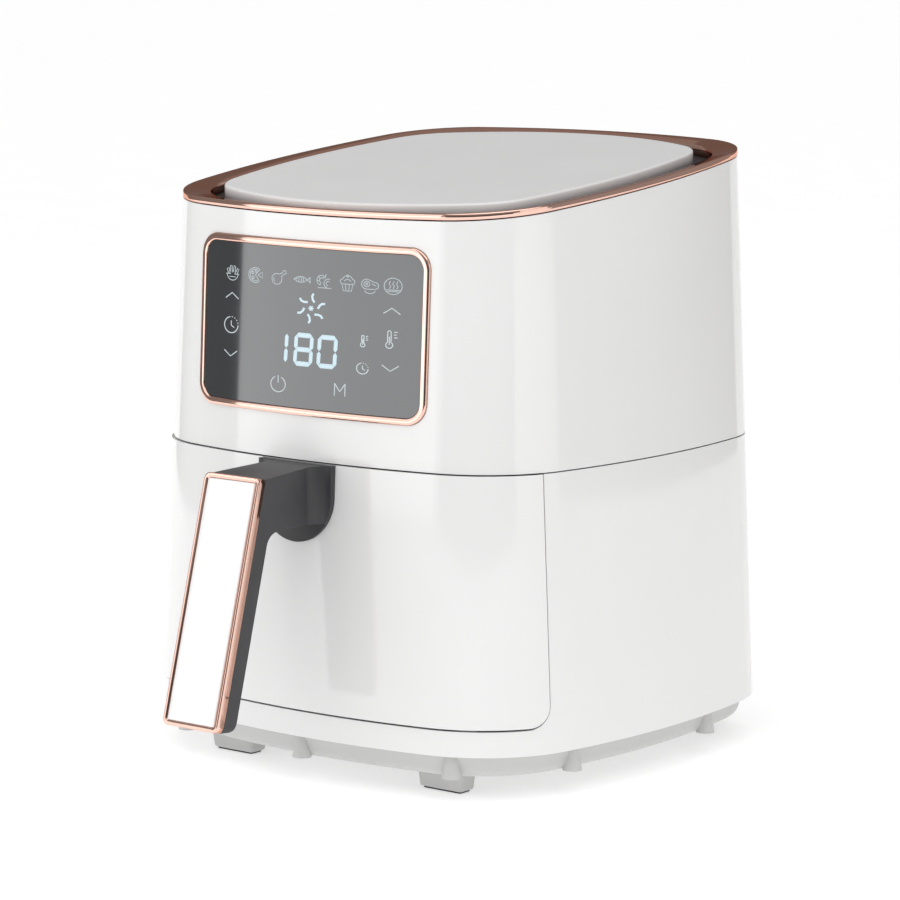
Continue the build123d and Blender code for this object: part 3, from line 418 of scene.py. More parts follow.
finishes = {
    "gloss_white": finish("gloss white", (0.84, 0.84, 0.835), (0.82, 0.82, 0.815), (0.07, 0.12),
                          coat=0.4, coat_rough=0.04),
    "satin_white": finish("satin white", (0.58, 0.58, 0.575), (0.55, 0.55, 0.545), (0.38, 0.48),
                          grain=0.25),
    "lid_white": finish("lid white", (0.90, 0.90, 0.90), (0.88, 0.88, 0.875), (0.34, 0.38), grain=0.3),
    "rose_gold": finish("rose gold", (0.88, 0.59, 0.50), (0.85, 0.56, 0.47), (0.06, 0.10),
                        metallic=1.0, edge=(0.93, 0.62, 0.52)),
    "smoked_glass": finish("smoked glass", (0.022, 0.026, 0.030), (0.018, 0.021, 0.025), (0.07, 0.10),
                           coat=1.0, coat_rough=0.05, level=0.95),
    "anthracite": finish("anthracite", (0.044, 0.044, 0.048), (0.036, 0.036, 0.039), (0.40, 0.50),
                         grain=0.6),
    "dark_plastic": finish("dark plastic", (0.018, 0.018, 0.019), (0.013, 0.013, 0.013), (0.4, 0.5),
                           grain=0.4),
    "circuit_board": finish("circuit board", (0.02, 0.14, 0.07), (0.015, 0.10, 0.05), (0.3, 0.4)),
    "spring_steel": finish("spring steel", (0.62, 0.61, 0.58), (0.55, 0.54, 0.52), (0.2, 0.3), 1.0),
    "steel_sheet": finish("steel sheet", (0.60, 0.61, 0.62), (0.50, 0.51, 0.53), (0.28, 0.42), 1.0,
                          grain=0.15, grain_scale=0.4),
    "aluminised_sheet": finish("bright sheet", (0.72, 0.73, 0.74), (0.62, 0.63, 0.64), (0.25, 0.38), 1.0,
                               grain=0.15, grain_scale=0.4),
    "steel_wire": finish("steel wire", (0.58, 0.57, 0.56), (0.45, 0.44, 0.43), (0.22, 0.32), 1.0),
    "heater_tube": finish("heater tube", (0.22, 0.19, 0.17), (0.10, 0.085, 0.08), (0.35, 0.5), 1.0,
                          grain=0.3, tint_scale=4.0),
    "ceramic": finish("ceramic", (0.78, 0.75, 0.68), (0.72, 0.69, 0.62), (0.2, 0.3)),
    "insulation": finish("mineral fibre", (0.74, 0.71, 0.62), (0.60, 0.57, 0.49), (0.8, 0.95), grain=1.0,
                         grain_scale=0.3),
    "rubber_dark": finish("dark rubber", (0.025, 0.025, 0.025), (0.018, 0.018, 0.018), (0.6, 0.75),
                          grain=0.5),
    "stator_iron": finish("stator iron", (0.20, 0.20, 0.21), (0.13, 0.13, 0.14), (0.4, 0.55), 1.0),
    "copper_wire": finish("copper winding", (0.60, 0.25, 0.11), (0.48, 0.18, 0.08), (0.25, 0.35), 1.0,
                          grain=0.5, grain_scale=0.5),
    "bronze_bush": finish("bronze", (0.52, 0.35, 0.16), (0.44, 0.29, 0.13), (0.35, 0.45), 1.0, grain=0.3),
    "nonstick": finish("non-stick coating", (0.040, 0.040, 0.042), (0.026, 0.026, 0.028), (0.26, 0.36),
                       grain=0.8, grain_scale=0.6, tint_scale=14.0),
    "silicone": finish("silicone", (0.07, 0.07, 0.075), (0.055, 0.055, 0.06), (0.5, 0.6)),
}
slot_of = {entry["node"]: entry["material_slot"] for entry in frame["record"]["subparts"]}
for node, part in frame["nodes"].items():
    part.data.materials.clear()
    part.data.materials.append(finishes[slot_of[node]])
print(len(finishes), "finishes")

# %% [markdown]
# ## The lower housing
# The lower housing is one drafted shell with a large opening at the front for the drawer. Its lower
# corners are round, so the edge of the opening is an arc there. The sheet is wrapped in columns: the
# columns in front of the opening stop at its edge, and the columns behind carry on up to the seam. The
# same two numbers, the split line and its corner radius, then shape the drawer front, so the gap between
# them stays even.

# %% The split between the drawer front and the housing
drawer_low, drawer_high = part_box("drawer_front")
split_y = drawer_high.y
split_radius = 11.0 * MM
drawer_gap = 1.2 * MM
gauge_z = 0.1
corner_start = body_arcs[0][1] * body_arcs[0][3]
corner_centre = body_arcs[1][0]


def split_length(z, behind):
    """The length round the seam at which the split line lies at this height."""
    grow = draft * (seam_z - z)
    reach = (split_y + behind - axis_y - corner_centre.y) / (corner_radius + grow)
    return corner_start + corner_radius * (math.asin(reach) - body_arcs[1][2])


print("split line at", round(split_length(gauge_z, 0), 4), "m from the front centre")


# %% Lower housing
def opening_edge(inside, floor, radius):
    """Height of the opening's round lower corner, inside metres in from its side edge."""
    if inside >= radius:
        return floor
    return floor + radius - math.sqrt(radius ** 2 - (radius - inside) ** 2)


opening_floor = drawer_low.z - drawer_gap
opening_radius = split_radius + drawer_gap
corner_steps = [1 - math.cos(math.pi / 2 * k / 10) for k in range(11)]
edge_shift = drawer_gap
front_length = split_length(gauge_z, edge_shift)
seam_top = lower_high.z
rows_below = 6
rows_beside = 16


def lower_column(key, z):
    """Length round the seam for a column: (side, where), where 0 is the split and 1 the far centre."""
    side, where, inside = key
    edge = split_length(z, edge_shift)
    if where < 0:
        length = edge * (1 - inside / front_length)
    else:
        length = edge + (body_length / 2 - edge) * where
    return side * length


def lower_keys():
    """Column keys once round, from the front centre to the right and back."""
    front = [(1, -1, inside) for inside in spread(front_length, opening_radius, 36)[:-1]]
    corner = [(1, -1, opening_radius * share) for share in corner_steps[::-1]]
    back = [(1, where, 0) for where in spread(0, 1, 90)[1:]]
    right = front + corner + back
    left = [(-1, where, inside) for _, where, inside in right[::-1][1:-1]]
    return right + left


def lower_rows(key):
    """Heights of a column: up to the opening's edge, then up to the seam."""
    _, where, inside = key
    rim = opening_floor + opening_radius
    if where < 0:
        rim = opening_edge(inside, opening_floor, opening_radius)
    return spread(housing_z, rim, rows_below) + spread(rim, seam_top, rows_beside)[1:]


keys = lower_keys()


def in_opening(column, row):
    """True for a cell that the opening takes away."""
    this, following = keys[column], keys[(column + 1) % len(keys)]
    return row >= rows_below and this[1] < 0 and following[1] < 0


shell_wall = 2.8 * MM
lower = wrapped_sheet("lower_shell", keys, lower_rows,
                      lambda key, z: body_point(lower_column(key, z), z, 0), in_opening, closed=True)
soften(thicken(lower, shell_wall), 0.55 * MM)
placed(lower, "housing", "gloss_white", ["lower_housing"])
print(lower.name, len(lower.data.polygons), "faces")

# %% [markdown]
# ## The drawer front
# The drawer front carries the same curve a little further out, so that it stands proud of the housing,
# and it wraps round both front corners. It is the piece that the opening above leaves room for: its
# columns measure the distance in from the same split line.

# %% Drawer front
drawer_proud = 1.3 * MM
drawer_wall = 3.0 * MM


def drawer_rows(key):
    """Heights of a drawer column, from its round lower corner to the top."""
    low = opening_edge(key[1], drawer_low.z, split_radius)
    return spread(low, drawer_high.z, 22)


def drawer_place(key, z):
    """A point on the drawer front."""
    side, inside = key
    length = split_length(z, 0) * (1 - inside / drawer_reach)
    return body_point(side * length, z, drawer_proud)


drawer_reach = split_length(gauge_z, 0)
corner_insides = [split_radius * share for share in corner_steps]
right_insides = spread(drawer_reach, split_radius, 44)[:-1] + corner_insides[::-1]
drawer_keys = [(-1, inside) for inside in right_insides[::-1]]
drawer_keys += [(1, inside) for inside in right_insides[1:]]
drawer_front = wrapped_sheet("drawer_front_shell", drawer_keys, drawer_rows, drawer_place)
soften(thicken(drawer_front, drawer_wall), 0.7 * MM)
placed(drawer_front, "drawer", "gloss_white", ["drawer_front"])
print(drawer_front.name, "is", round(2 * drawer_reach, 3), "m round the front")

# %% [markdown]
# ## The upper housing and the panel in it
# The upper housing runs from the seam to a top edge that slopes. The control panel sits in a rounded
# window in its front. The window's columns are set by x instead of by length, because its sides are
# upright when seen from the front. The frame and the glass are then built on the same front surface.

# %% Upper housing
panel_low, panel_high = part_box("panel_frame")
panel_x = panel_high.x
panel_z = (panel_low.z + panel_high.z) / 2
panel_half_height = (panel_high.z - panel_low.z) / 2
panel_corner = 11.5 * MM
window_gap = 0.1 * MM
window_x = panel_x + window_gap
window_half = panel_half_height + window_gap
window_rows = 10


def upper_place(key, z):
    """A point of the upper housing; the key is ("x", x) in front and ("round", length) elsewhere."""
    kind, value = key
    return front_point(value, z, 0) if kind == "x" else body_point(value, z, 0)


def upper_top(key):
    """The height at which this column meets the sloping top."""
    z = top_z
    for _ in range(3):
        z = sloped_height(upper_place(key, z).y, 0)
    return z


def window_cut(x, half, corner):
    """How far the window's edge lies above and below its centre at this x."""
    inside = window_x - abs(x)
    if inside >= corner:
        return half
    return half - corner + math.sqrt(corner ** 2 - (corner - inside) ** 2)


def upper_rows(key):
    """Heights of a column: below, beside and above the window."""
    kind, value = key
    cut = window_half - panel_corner
    if kind == "x":
        cut = window_cut(value, window_half, panel_corner)
    low, high, top = panel_z - cut, panel_z + cut, upper_top(key)
    return spread(seam_z, low, rows_below) + spread(low, high, window_rows)[1:] + spread(high, top, 8)[1:]


window_insides = [panel_corner * share for share in corner_steps]
window_right = spread(0, window_x - panel_corner, 26)[:-1] + [window_x - i for i in window_insides[::-1]]
beyond = front_bulge * math.asin(window_x / front_bulge)
sides = [("round", length) for length in spread(beyond, body_length - beyond, 230)[1:-1]]
upper_keys = [("x", x) for x in window_right] + sides + [("x", -x) for x in window_right[:0:-1]]


def in_window(column, row):
    """True for a cell inside the window."""
    this, following = upper_keys[column], upper_keys[(column + 1) % len(upper_keys)]
    return rows_below <= row < rows_below + window_rows and this[0] == following[0] == "x"


upper = wrapped_sheet("upper_shell", upper_keys, upper_rows, upper_place, in_window, closed=True)
soften(thicken(upper, shell_wall), 0.5 * MM)
placed(upper, "housing", "gloss_white", ["upper_housing"])
print(upper.name, len(upper.data.polygons), "faces")


# %% Panel frame, a plated ring with a rounded face
def rounded_loop(half_x, half_z, corner, steps=10):
    """Points and outward directions once round a rounded rectangle."""
    found = []
    for cx, cz, first in ((1, -1, -90), (1, 1, 0), (-1, 1, 90), (-1, -1, 180)):
        for step in range(steps + 1):
            angle = math.radians(first + 90 * step / steps)
            way = Vector((math.cos(angle), math.sin(angle)))
            centre = Vector((cx * (half_x - corner), cz * (half_z - corner)))
            found.append((centre + way * corner, way))
    longer = []
    for index, (point, way) in enumerate(found):
        following = found[(index + 1) % len(found)][0]
        longer.append((point, way))
        if (following - point).length > corner:
            longer += [(point.lerp(following, share / 12), way) for share in range(1, 12)]
    return longer


border = 3.6 * MM
frame_profile = [(0, -2.8), (0, 0.8), (0.08, 1.1), (0.3, 1.32), (0.7, 1.42), (1.8, 1.48), (2.9, 1.42),
                 (3.3, 1.32), (3.52, 1.1), (3.6, 0.8), (3.6, -2.8)]
frame_loop = rounded_loop(panel_x, panel_half_height, panel_corner)
ring_loops = [[front_point(p.x - w.x * inset * MM, panel_z + p.y - w.y * inset * MM, offset * MM)
               for p, w in frame_loop] for inset, offset in frame_profile]
panel_ring = loft("panel_ring", ring_loops, "ring")
placed(panel_ring, "housing", "rose_gold", ["panel_frame"])
print(panel_ring.name, "border", border)

# %% Panel glass
glass_low, glass_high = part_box("panel_glass")
glass_x = glass_high.x
glass_half = (glass_high.z - glass_low.z) / 2
glass_corner = panel_corner - border
glass_offset = 0.7 * MM


def glass_rows(x):
    """Heights of a glass column."""
    inside = glass_x - abs(x)
    cut = glass_half
    if inside < glass_corner:
        cut = glass_half - glass_corner + math.sqrt(glass_corner ** 2 - (glass_corner - inside) ** 2)
    return spread(panel_z - cut, panel_z + cut, 14)


glass_right = spread(0, glass_x - glass_corner, 30)[:-1]
glass_right += [glass_x - glass_corner * share for share in corner_steps[::-1]]
glass_columns = [-x for x in glass_right[:0:-1]] + glass_right
glass = wrapped_sheet("panel_window", glass_columns, glass_rows,
                      lambda x, z: front_point(x, z, glass_offset))
soften(thicken(glass, 2.6 * MM), 0.3 * MM)
placed(glass, "housing", "smoked_glass", ["panel_glass"])
print(glass.name, round(2 * glass_x, 4), "x", round(2 * glass_half, 4))

# %% [markdown]
# ## Marks on the glass
# The keys are printed marks lit from behind, drawn in thin lines of one width. Each is a list of short
# strokes in a small square of its own, and a stroke becomes a narrow ribbon on the glass. Drawing them as
# shapes keeps them sharp at any distance, which a painted texture would not.

# %% Lit marks
def lit_finish(name, glow):
    """A milky print with an even glow behind it."""
    material = finish(name, (0.30, 0.33, 0.35), (0.27, 0.30, 0.32), (0.45, 0.55))
    surface = material.node_tree.nodes["Principled BSDF"]
    surface.inputs["Emission Color"].default_value = (*glow, 1)
    surface.inputs["Emission Strength"].default_value = 1.0
    return material


finishes["bright_marks"] = lit_finish("bright marks", (0.40, 0.54, 0.60))
finishes["dim_marks"] = lit_finish("dim marks", (0.22, 0.26, 0.27))
finishes["key_marks"] = lit_finish("key marks", (0.34, 0.39, 0.40))
mark_offset = glass_offset + 0.03 * MM
mark_stretch = 1.27


def arc(cx, cy, radius, first, last, steps=14):
    """Points along an arc, angles in degrees from +x."""
    angles = [math.radians(first + (last - first) * k / steps) for k in range(steps + 1)]
    return [(cx + radius * math.cos(a), cy + radius * math.sin(a)) for a in angles]


def ribbon(points, width, tapered):
    """Left and right edges of a stroke, drawn to a blunt point at both ends if tapered."""
    edges = []
    if tapered:
        first, last = Vector(points[0]), Vector(points[-1])
        step = (last - first).normalized() * width / 2
        points = [first, first + step, last - step, last]
    for index, point in enumerate(points):
        before = Vector(points[max(index - 1, 0)])
        after = Vector(points[min(index + 1, len(points) - 1)])
        along = (after - before).normalized()
        thin = 0.12 if tapered and index in (0, 3) else 1
        across = Vector((-along.y, along.x)) * width * thin / 2
        edges.append((Vector(point) + across, Vector(point) - across))
    return edges


def draw(name, strokes, centre, size, width, slant=0.0, stretch=mark_stretch, print_finish="dim_marks",
         tapered=False):
    """A mark of strokes in units of half its size, as thin ribbons on the glass."""
    points, faces = [], []
    for stroke in strokes:
        full = [(x * size / 2, y * size / 2) for x, y in stroke]
        start = len(points)
        edges = ribbon(full, width, tapered)
        for p in [end for pair in edges for end in pair]:
            x = centre[0] + p.x * stretch + slant * p.y
            points.append(front_point(x, centre[1] + p.y, mark_offset))
        for k in range(len(edges) - 1):
            a = start + 2 * k
            faces.append((a, a + 1, a + 3, a + 2))
    piece = thicken(new_piece(name, points, faces), 0.02 * MM)
    placed(piece, "housing", "smoked_glass")
    piece.data.materials[0] = finishes[print_finish]
    return piece


food_marks = {
    "fries": [arc(0.0, -0.15, 0.78, 180, 360), [(-0.95, -0.15), (0.95, -0.15)],
              [(-0.6, -0.15), (-0.8, 0.45)], [(-0.8, 0.45), (-0.5, 0.55), (-0.38, -0.15)],
              [(-0.3, 0.1), (-0.35, 0.85), (-0.1, 0.85)],
              [(-0.1, 0.85), (-0.05, 0.0)], [(0.1, 0.1), (0.2, 0.9), (0.42, 0.82), (0.36, -0.15)],
              [(0.5, 0.1), (0.7, 0.6), (0.88, 0.48), (0.66, -0.15)], [(-0.45, -0.5), (0.45, -0.5)]],
    "pizza": [arc(-0.05, 0.0, 0.92, 50, 310), [(-0.05, 0.0), (0.54, 0.7)], [(-0.05, 0.0), (0.54, -0.7)],
              arc(-0.05, 0.0, 0.7, 60, 300), arc(-0.4, 0.25, 0.15, 0, 360), arc(-0.35, -0.3, 0.15, 0, 360),
              arc(0.05, 0.45, 0.13, 0, 360), [(0.3, 0.0), (0.9, 0.45), (0.95, -0.3), (0.3, 0.0)]],
    "drumstick": [arc(-0.25, -0.2, 0.66, 62, 388), [(0.06, 0.38), (0.48, 0.62)],
                  [(0.33, 0.12), (0.66, 0.42)], arc(0.72, 0.66, 0.22, -110, 200),
                  arc(-0.3, -0.2, 0.36, 150, 240)],
    "fish": [arc(-0.15, -0.75, 1.1, 38, 142), arc(-0.15, 0.75, 1.1, 218, 322),
             [(0.72, 0.0), (1.05, 0.36)], [(0.72, 0.0), (1.05, -0.36)], [(1.05, 0.36), (1.05, -0.36)],
             arc(-0.7, 0.08, 0.08, 0, 360), arc(-0.75, 0.0, 0.4, -50, 50), arc(-0.4, 0.0, 0.36, -50, 50),
             arc(-0.08, 0.0, 0.3, -50, 50)],
    "shrimp": [arc(-0.3, 0.1, 0.6, 60, 250), arc(-0.3, 0.1, 0.3, 60, 250), [(0.0, 0.62), (-0.15, 0.36)],
               [(-0.5, -0.46), (-0.4, -0.18)], [(-0.72, 0.5), (-0.52, 0.3)], [(-0.88, 0.0), (-0.6, 0.05)],
               arc(0.5, -0.25, 0.55, 70, 260), arc(0.5, -0.25, 0.28, 70, 260), [(0.2, 0.9), (0.05, 0.3)],
               [(0.9, -0.8), (-0.8, -0.8)]],
    "cupcake": [[(-0.66, -0.05), (-0.46, -0.95), (0.46, -0.95), (0.66, -0.05)],
                [(-0.22, -0.1), (-0.16, -0.9)], [(0.22, -0.1), (0.16, -0.9)],
                arc(-0.55, 0.18, 0.3, 90, 270), arc(0.55, 0.18, 0.3, -90, 90),
                arc(0.0, 0.3, 0.6, 15, 165), arc(0.0, 0.85, 0.14, 0, 360), [(-0.55, -0.12), (0.55, -0.12)],
                arc(0.0, 0.0, 0.45, 30, 150)],
    "steak": [arc(-0.35, 0.05, 0.6, 75, 280), arc(0.55, -0.1, 0.42, -95, 100), [(-0.2, 0.63), (0.48, 0.31)],
              [(-0.25, -0.54), (0.5, -0.52)], arc(-0.35, 0.08, 0.34, 0, 360),
              arc(-0.35, 0.08, 0.12, 0, 360),
              [(0.2, 0.12), (0.7, -0.1)], arc(0.0, -0.3, 0.75, 215, 325)],
    "steam": [arc(0.0, 0.0, 0.98, 0, 360, 28), [(-0.4, -0.3), (-0.25, 0.0), (-0.45, 0.25), (-0.3, 0.6)],
              [(0.0, -0.3), (0.15, 0.0), (-0.05, 0.25), (0.1, 0.6)],
              [(0.4, -0.3), (0.55, 0.0), (0.35, 0.25), (0.5, 0.6)], [(-0.75, -0.45), (0.75, -0.45)],
              [(-0.6, -0.62), (0.6, -0.62)]],
}
chevron_up = [[(-1.0, -0.35), (0.0, 0.4), (1.0, -0.35)]]
chevron_down = [[(-1.0, 0.35), (0.0, -0.4), (1.0, 0.35)]]
clock = [arc(0, 0, 0.95, 100, 360), [(0, 0.5), (0, -0.05), (0.42, -0.3)]]
clock += [arc(0, 0, 0.95, angle, angle + 8, 2) for angle in (12, 34, 56, 78)]
thermometer = [arc(-0.25, -0.62, 0.34, 120, 420), [(-0.42, -0.33), (-0.42, 0.75)],
               [(-0.08, -0.33), (-0.08, 0.75)], arc(-0.25, 0.75, 0.17, 0, 180, 6),
               [(-0.25, -0.6), (-0.25, 0.3)], [(0.2, 0.8), (0.55, 0.8)], [(0.2, 0.5), (0.45, 0.5)],
               [(0.2, 0.2), (0.55, 0.2)]]
power = [arc(0, 0, 0.9, 115, 425), [(0, 0.15), (0, 1.0)]]
letter_m = [[(-0.8, -1.0), (-0.8, 1.0)], [(-0.8, 0.95), (0.0, -0.3)], [(0.0, -0.3), (0.8, 0.95)],
            [(0.8, 1.0), (0.8, -1.0)]]
line_width = 0.42 * MM
key_line = 0.5 * MM
row_z = 266.0 * MM
marks = []
for (name, strokes), x in zip(food_marks.items(), (-52.9, -34.9, -17.8, -1.6, 13.6, 28.6, 42.6, 56.6)):
    marks.append(draw("mark_" + name, strokes, (x * MM, row_z), 8.6 * MM, line_width))
key_places = [("up_left", chevron_up, -52.8, 253.8, 8.0), ("timer", clock, -53.0, 238.3, 9.0),
              ("down_left", chevron_down, -53.0, 223.3, 8.0), ("up_right", chevron_up, 56.3, 253.2, 8.0),
              ("heat", thermometer, 56.8, 238.7, 9.6), ("down_right", chevron_down, 56.3, 223.9, 8.0),
              ("heat_small", thermometer, 40.2, 236.8, 6.4), ("timer_small", clock, 39.4, 222.6, 6.0),
              ("power", power, -16.4, 210.1, 9.2), ("mode", letter_m, 25.5, 210.5, 6.6)]
for name, strokes, x, z, size in key_places:
    marks.append(draw("mark_" + name, strokes, (x * MM, z * MM), size * MM, key_line,
                      print_finish="key_marks"))
print(len(marks), "marks drawn")

# %% [markdown]
# The number in the middle is a seven-segment display, and the fan symbol above it has six curved blades.
# Both are lit brighter than the keys.

# %% Digits and the fan symbol
segments = {"a": ((-1, 2), (1, 2)), "b": ((1, 2), (1, 0)), "c": ((1, 0), (1, -2)), "d": ((-1, -2), (1, -2)),
            "e": ((-1, -2), (-1, 0)), "f": ((-1, 0), (-1, 2)), "g": ((-1, 0), (1, 0))}
shown = [("1", "bc", -16.6), ("8", "abcdefg", 0.7), ("0", "abcdef", 16.6)]
digit_height = 17.4 * MM
digit_width = 12.4 * MM
digit_z = 229.5 * MM
digit_line = 2.5 * MM
digit_slant = 0.05
for name, lit_segments, x in shown:
    strokes = []
    for key in lit_segments:
        (x0, y0), (x1, y1) = segments[key]
        start = Vector((x0 * digit_width, y0 * digit_height / 2)) / digit_height
        end = Vector((x1 * digit_width, y1 * digit_height / 2)) / digit_height
        gap = (end - start).normalized() * 0.02
        strokes.append([tuple(start + gap), tuple(end - gap)])
    marks.append(draw("digit_" + name, strokes, (x * MM, digit_z), digit_height * 0.86, digit_line,
                      digit_slant, stretch=1.0, print_finish="bright_marks", tapered=True))


# %% The fan symbol, six curved blades round a small star
def blade(turn):
    """One comma-shaped blade as a stroke that follows its middle."""
    middle = [(0.40, -0.10), (0.55, 0.06), (0.72, 0.14), (0.90, 0.10)]
    return [(x * math.cos(turn) - y * math.sin(turn), x * math.sin(turn) + y * math.cos(turn))
            for x, y in middle]


blades = [blade(math.radians(60 * step + 15)) for step in range(6)]
star = [[(0, 0), (0.16 * math.cos(math.radians(a)), 0.16 * math.sin(math.radians(a)))]
        for a in range(0, 360, 60)]
fan_place = (5.2 * MM, 251.4 * MM)
fan_size = 17.4 * MM
marks.append(draw("mark_fan", blades, fan_place, fan_size, 1.15 * MM, print_finish="bright_marks"))
marks.append(draw("mark_star", star, fan_place, fan_size, 0.7 * MM, print_finish="bright_marks"))
print(len(marks), "marks in all")

# %% [markdown]
# ## The top: trim ring and lid plate
# The ring has a narrow bright outer band, a land that falls inwards and a wall that drops into a dark
# groove. Its inner edge is rounder at the corners than its outer edge, so it is lofted between two
# outlines with the same number of points. The lid plate is a separate, squarer plate that stands in the
# groove.

# %% Trim ring
arc_steps = 28
outer_loop = loop_of(body_arcs, arc_steps)
ring_land = 10.0 * MM
ring_corner = 58.0 * MM
narrow = draft * (top_z - seam_z) + ring_land


def land_loop(inset):
    """The ring's inner outline, moved inwards."""
    less = narrow + inset
    arcs = bowed_arcs(half_width - less, half_depth - less, front_bulge - less, side_bulge - less,
                      ring_corner - inset)
    return loop_of(arcs, arc_steps)


def outer_ring(rise, offset):
    """A loop on the body's outline at the sloping top."""
    return [sloped_point(point, way, rise * MM, offset * MM) for point, way in outer_loop]


def inner_ring(rise, inset):
    """A loop on the ring's inner outline at the sloping top."""
    return [Vector((p.x, axis_y + p.y, sloped_height(axis_y + p.y, rise * MM)))
            for p, _ in land_loop(inset * MM)]


trim_loops = [outer_ring(0.6, -2.4), outer_ring(0.6, 0.0), outer_ring(0.85, 0.25), outer_ring(3.3, 0.25),
              outer_ring(3.75, 0.05), outer_ring(3.95, -0.45), outer_ring(3.85, -1.0),
              inner_ring(2.2, 0.2), inner_ring(1.9, 0.8), inner_ring(1.4, 1.2), inner_ring(-3.45, 1.2),
              inner_ring(-3.45, 0.1), inner_ring(0.6, 0.1)]
trim = loft("trim_band", trim_loops, "ring")
placed(trim, "housing", "rose_gold", ["trim_ring"])
print(trim.name, len(trim.data.polygons), "faces")

# %% Lid plate
lid_low, lid_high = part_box("lid_plate")
lid_y = (lid_low.y + lid_high.y) / 2
lid_rise = 5.0
lid_edge = 1.3
lid_front_bulge = 186 * MM
lid_side_bulge = 340 * MM
lid_corner = 35 * MM


def lid_loop(inset, rise):
    """A loop of the lid plate's outline."""
    less = inset * MM
    arcs = bowed_arcs(lid_high.x - less, (lid_high.y - lid_low.y) / 2 - less, lid_front_bulge - less,
                      lid_side_bulge - less, max(lid_corner - less, 5 * MM))
    return [Vector((p.x, lid_y + p.y, sloped_height(lid_y + p.y, rise * MM))) for p, _ in loop_of(arcs, 24)]


edge_turns = [math.radians(90 * k / 6) for k in range(7)]
lid_loops = [lid_loop(2.5, -3.4), lid_loop(0, -3.4)]
lid_loops += [lid_loop(lid_edge * (1 - math.cos(a)), lid_rise - lid_edge * (1 - math.sin(a)))
              for a in edge_turns]
lid_loops += [lid_loop(4, lid_rise), lid_loop(12, lid_rise)]
lid = loft("lid_cap", lid_loops, "capped")
placed(lid, "housing", "lid_white", ["lid_plate"])
print(lid.name, "top at", round(lid_high.z, 4))

# %% [markdown]
# ## The handle
# The handle is one plastic casting with a flared arm, and its soft edges come from a bevel over the CAD
# shape. On its front sit a plated frame, whose face slopes in towards a white insert. The frame is lofted
# from rounded rectangles in the handle's own leaning plane.

# %% Handle, plated frame and white insert
handle = soften(from_node("handle", "handle_body"), 0.9 * MM, 4)
placed(handle, "drawer", "anthracite", ["handle"])

lean = math.radians(15)
face_low, face_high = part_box("handle_frame")
face_depth = 5.35 * MM
face_half_x = face_high.x
face_half = (face_high.z - face_low.z - face_depth * math.sin(lean)) / math.cos(lean) / 2
down = Vector((0, -math.sin(lean), -math.cos(lean)))
outward = Vector((0, -math.cos(lean), math.sin(lean)))
face_back = (face_low + face_high) / 2 - outward * face_depth / 2


def face_loop(inset, depth, corner):
    """A rounded rectangle in the handle's leaning plane."""
    loop = rounded_loop(face_half_x - inset * MM, face_half - inset * MM, corner * MM, 8)
    return [face_back + Vector((p.x, 0, 0)) + down * p.y + outward * depth * MM for p, _ in loop]


plated_profile = [(0, 0, 3.5), (0, 4.7, 3.5), (0.15, 5.05, 3.4), (0.45, 5.28, 3.2), (0.9, 5.3, 2.9),
                  (2.45, 4.75, 1.4), (2.65, 4.5, 1.3), (2.7, 0, 1.3)]
plated = loft("handle_trim", [face_loop(*step) for step in plated_profile], "ring")
placed(plated, "drawer", "rose_gold", ["handle_frame"])
insert_profile = [(2.8, 0.1, 1.2), (2.8, 4.4, 1.2), (2.95, 4.75, 1.1), (3.3, 4.95, 0.9), (6, 5.0, 0.8)]
insert = loft("handle_face", [face_loop(*step) for step in insert_profile], "capped")
placed(insert, "drawer", "gloss_white", ["handle_insert"])
insert.data.materials[0] = finish("insert white", (0.94, 0.94, 0.94), (0.93, 0.93, 0.93), (0.07, 0.12),
                                  coat=0.6, coat_rough=0.04)
print("handle face", round(2 * face_half, 4), "long, leaning", round(math.degrees(lean)), "degrees")

# %% [markdown]
# ## Base, feet and rear pieces
# These keep their CAD shapes. A copy of each gets whole flat faces and rounded edges, which is how
# moulded plastic leaves its tool.

# %% Softened CAD pieces
softened = {"base_tray": ("tray_body", 0.5, "housing"), "feet": ("foot_blocks", 1.2, "housing"),
            "foot_pads": ("rubber_pads", 0.4, "housing"), "exhaust_grille": ("rear_grille", 0.4, "housing"),
            "cord_gland": ("rear_gland", 0.5, "housing"), "drawer_back": ("drawer_liner", 0.4, "drawer"),
            "crisper_plate": ("crisper", 0.35, "crisper"), "plate_feet": ("crisper_feet", 0.8, "crisper")}
for node, (name, width, body) in softened.items():
    piece = soften(from_node(node, name), width * MM)
    flat = piece.modifiers.new("flat faces", "WEIGHTED_NORMAL")
    flat.keep_sharp = True
    placed(piece, body, slot_of[node], [node])
    print(name, len(piece.data.polygons), "faces")

# %% [markdown]
# ## The pan
# The pan is deep drawn from sheet, so its floor meets its walls in a generous curve and its rim rolls
# outwards. The loft runs up the outside, over the rim and down the inside, with one rounded rectangle for
# each step.

# %% Pan
pan_low, pan_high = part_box("pan")
rim_width = 2.6 * MM
pan_y = (pan_low.y + pan_high.y) / 2
pan_half_x = pan_high.x - rim_width
pan_half_y = (pan_high.y - pan_low.y) / 2 - rim_width
pan_corner = 41 * MM
pan_lean = 3.0 * MM
pan_wall = 1.2 * MM
rim_z = 149.8 * MM


def pan_loop(inset, z):
    """A loop of the pan at this height, moved inwards."""
    less = inset + pan_lean * (pan_high.z - z) / (pan_high.z - pan_low.z)
    loop = rounded_loop(pan_half_x - less, pan_half_y - less, max(pan_corner - less, 3 * MM), 10)
    return [Vector((p.x, pan_y + p.y, z)) for p, _ in loop]


def floor_turn(radius, inset, floor):
    """Loops round the curve between wall and floor, from the wall down."""
    return [pan_loop(inset + radius * (1 - math.cos(a)), floor + radius * (1 - math.sin(a)))
            for a in [math.radians(90 * k / 8) for k in range(9)]]


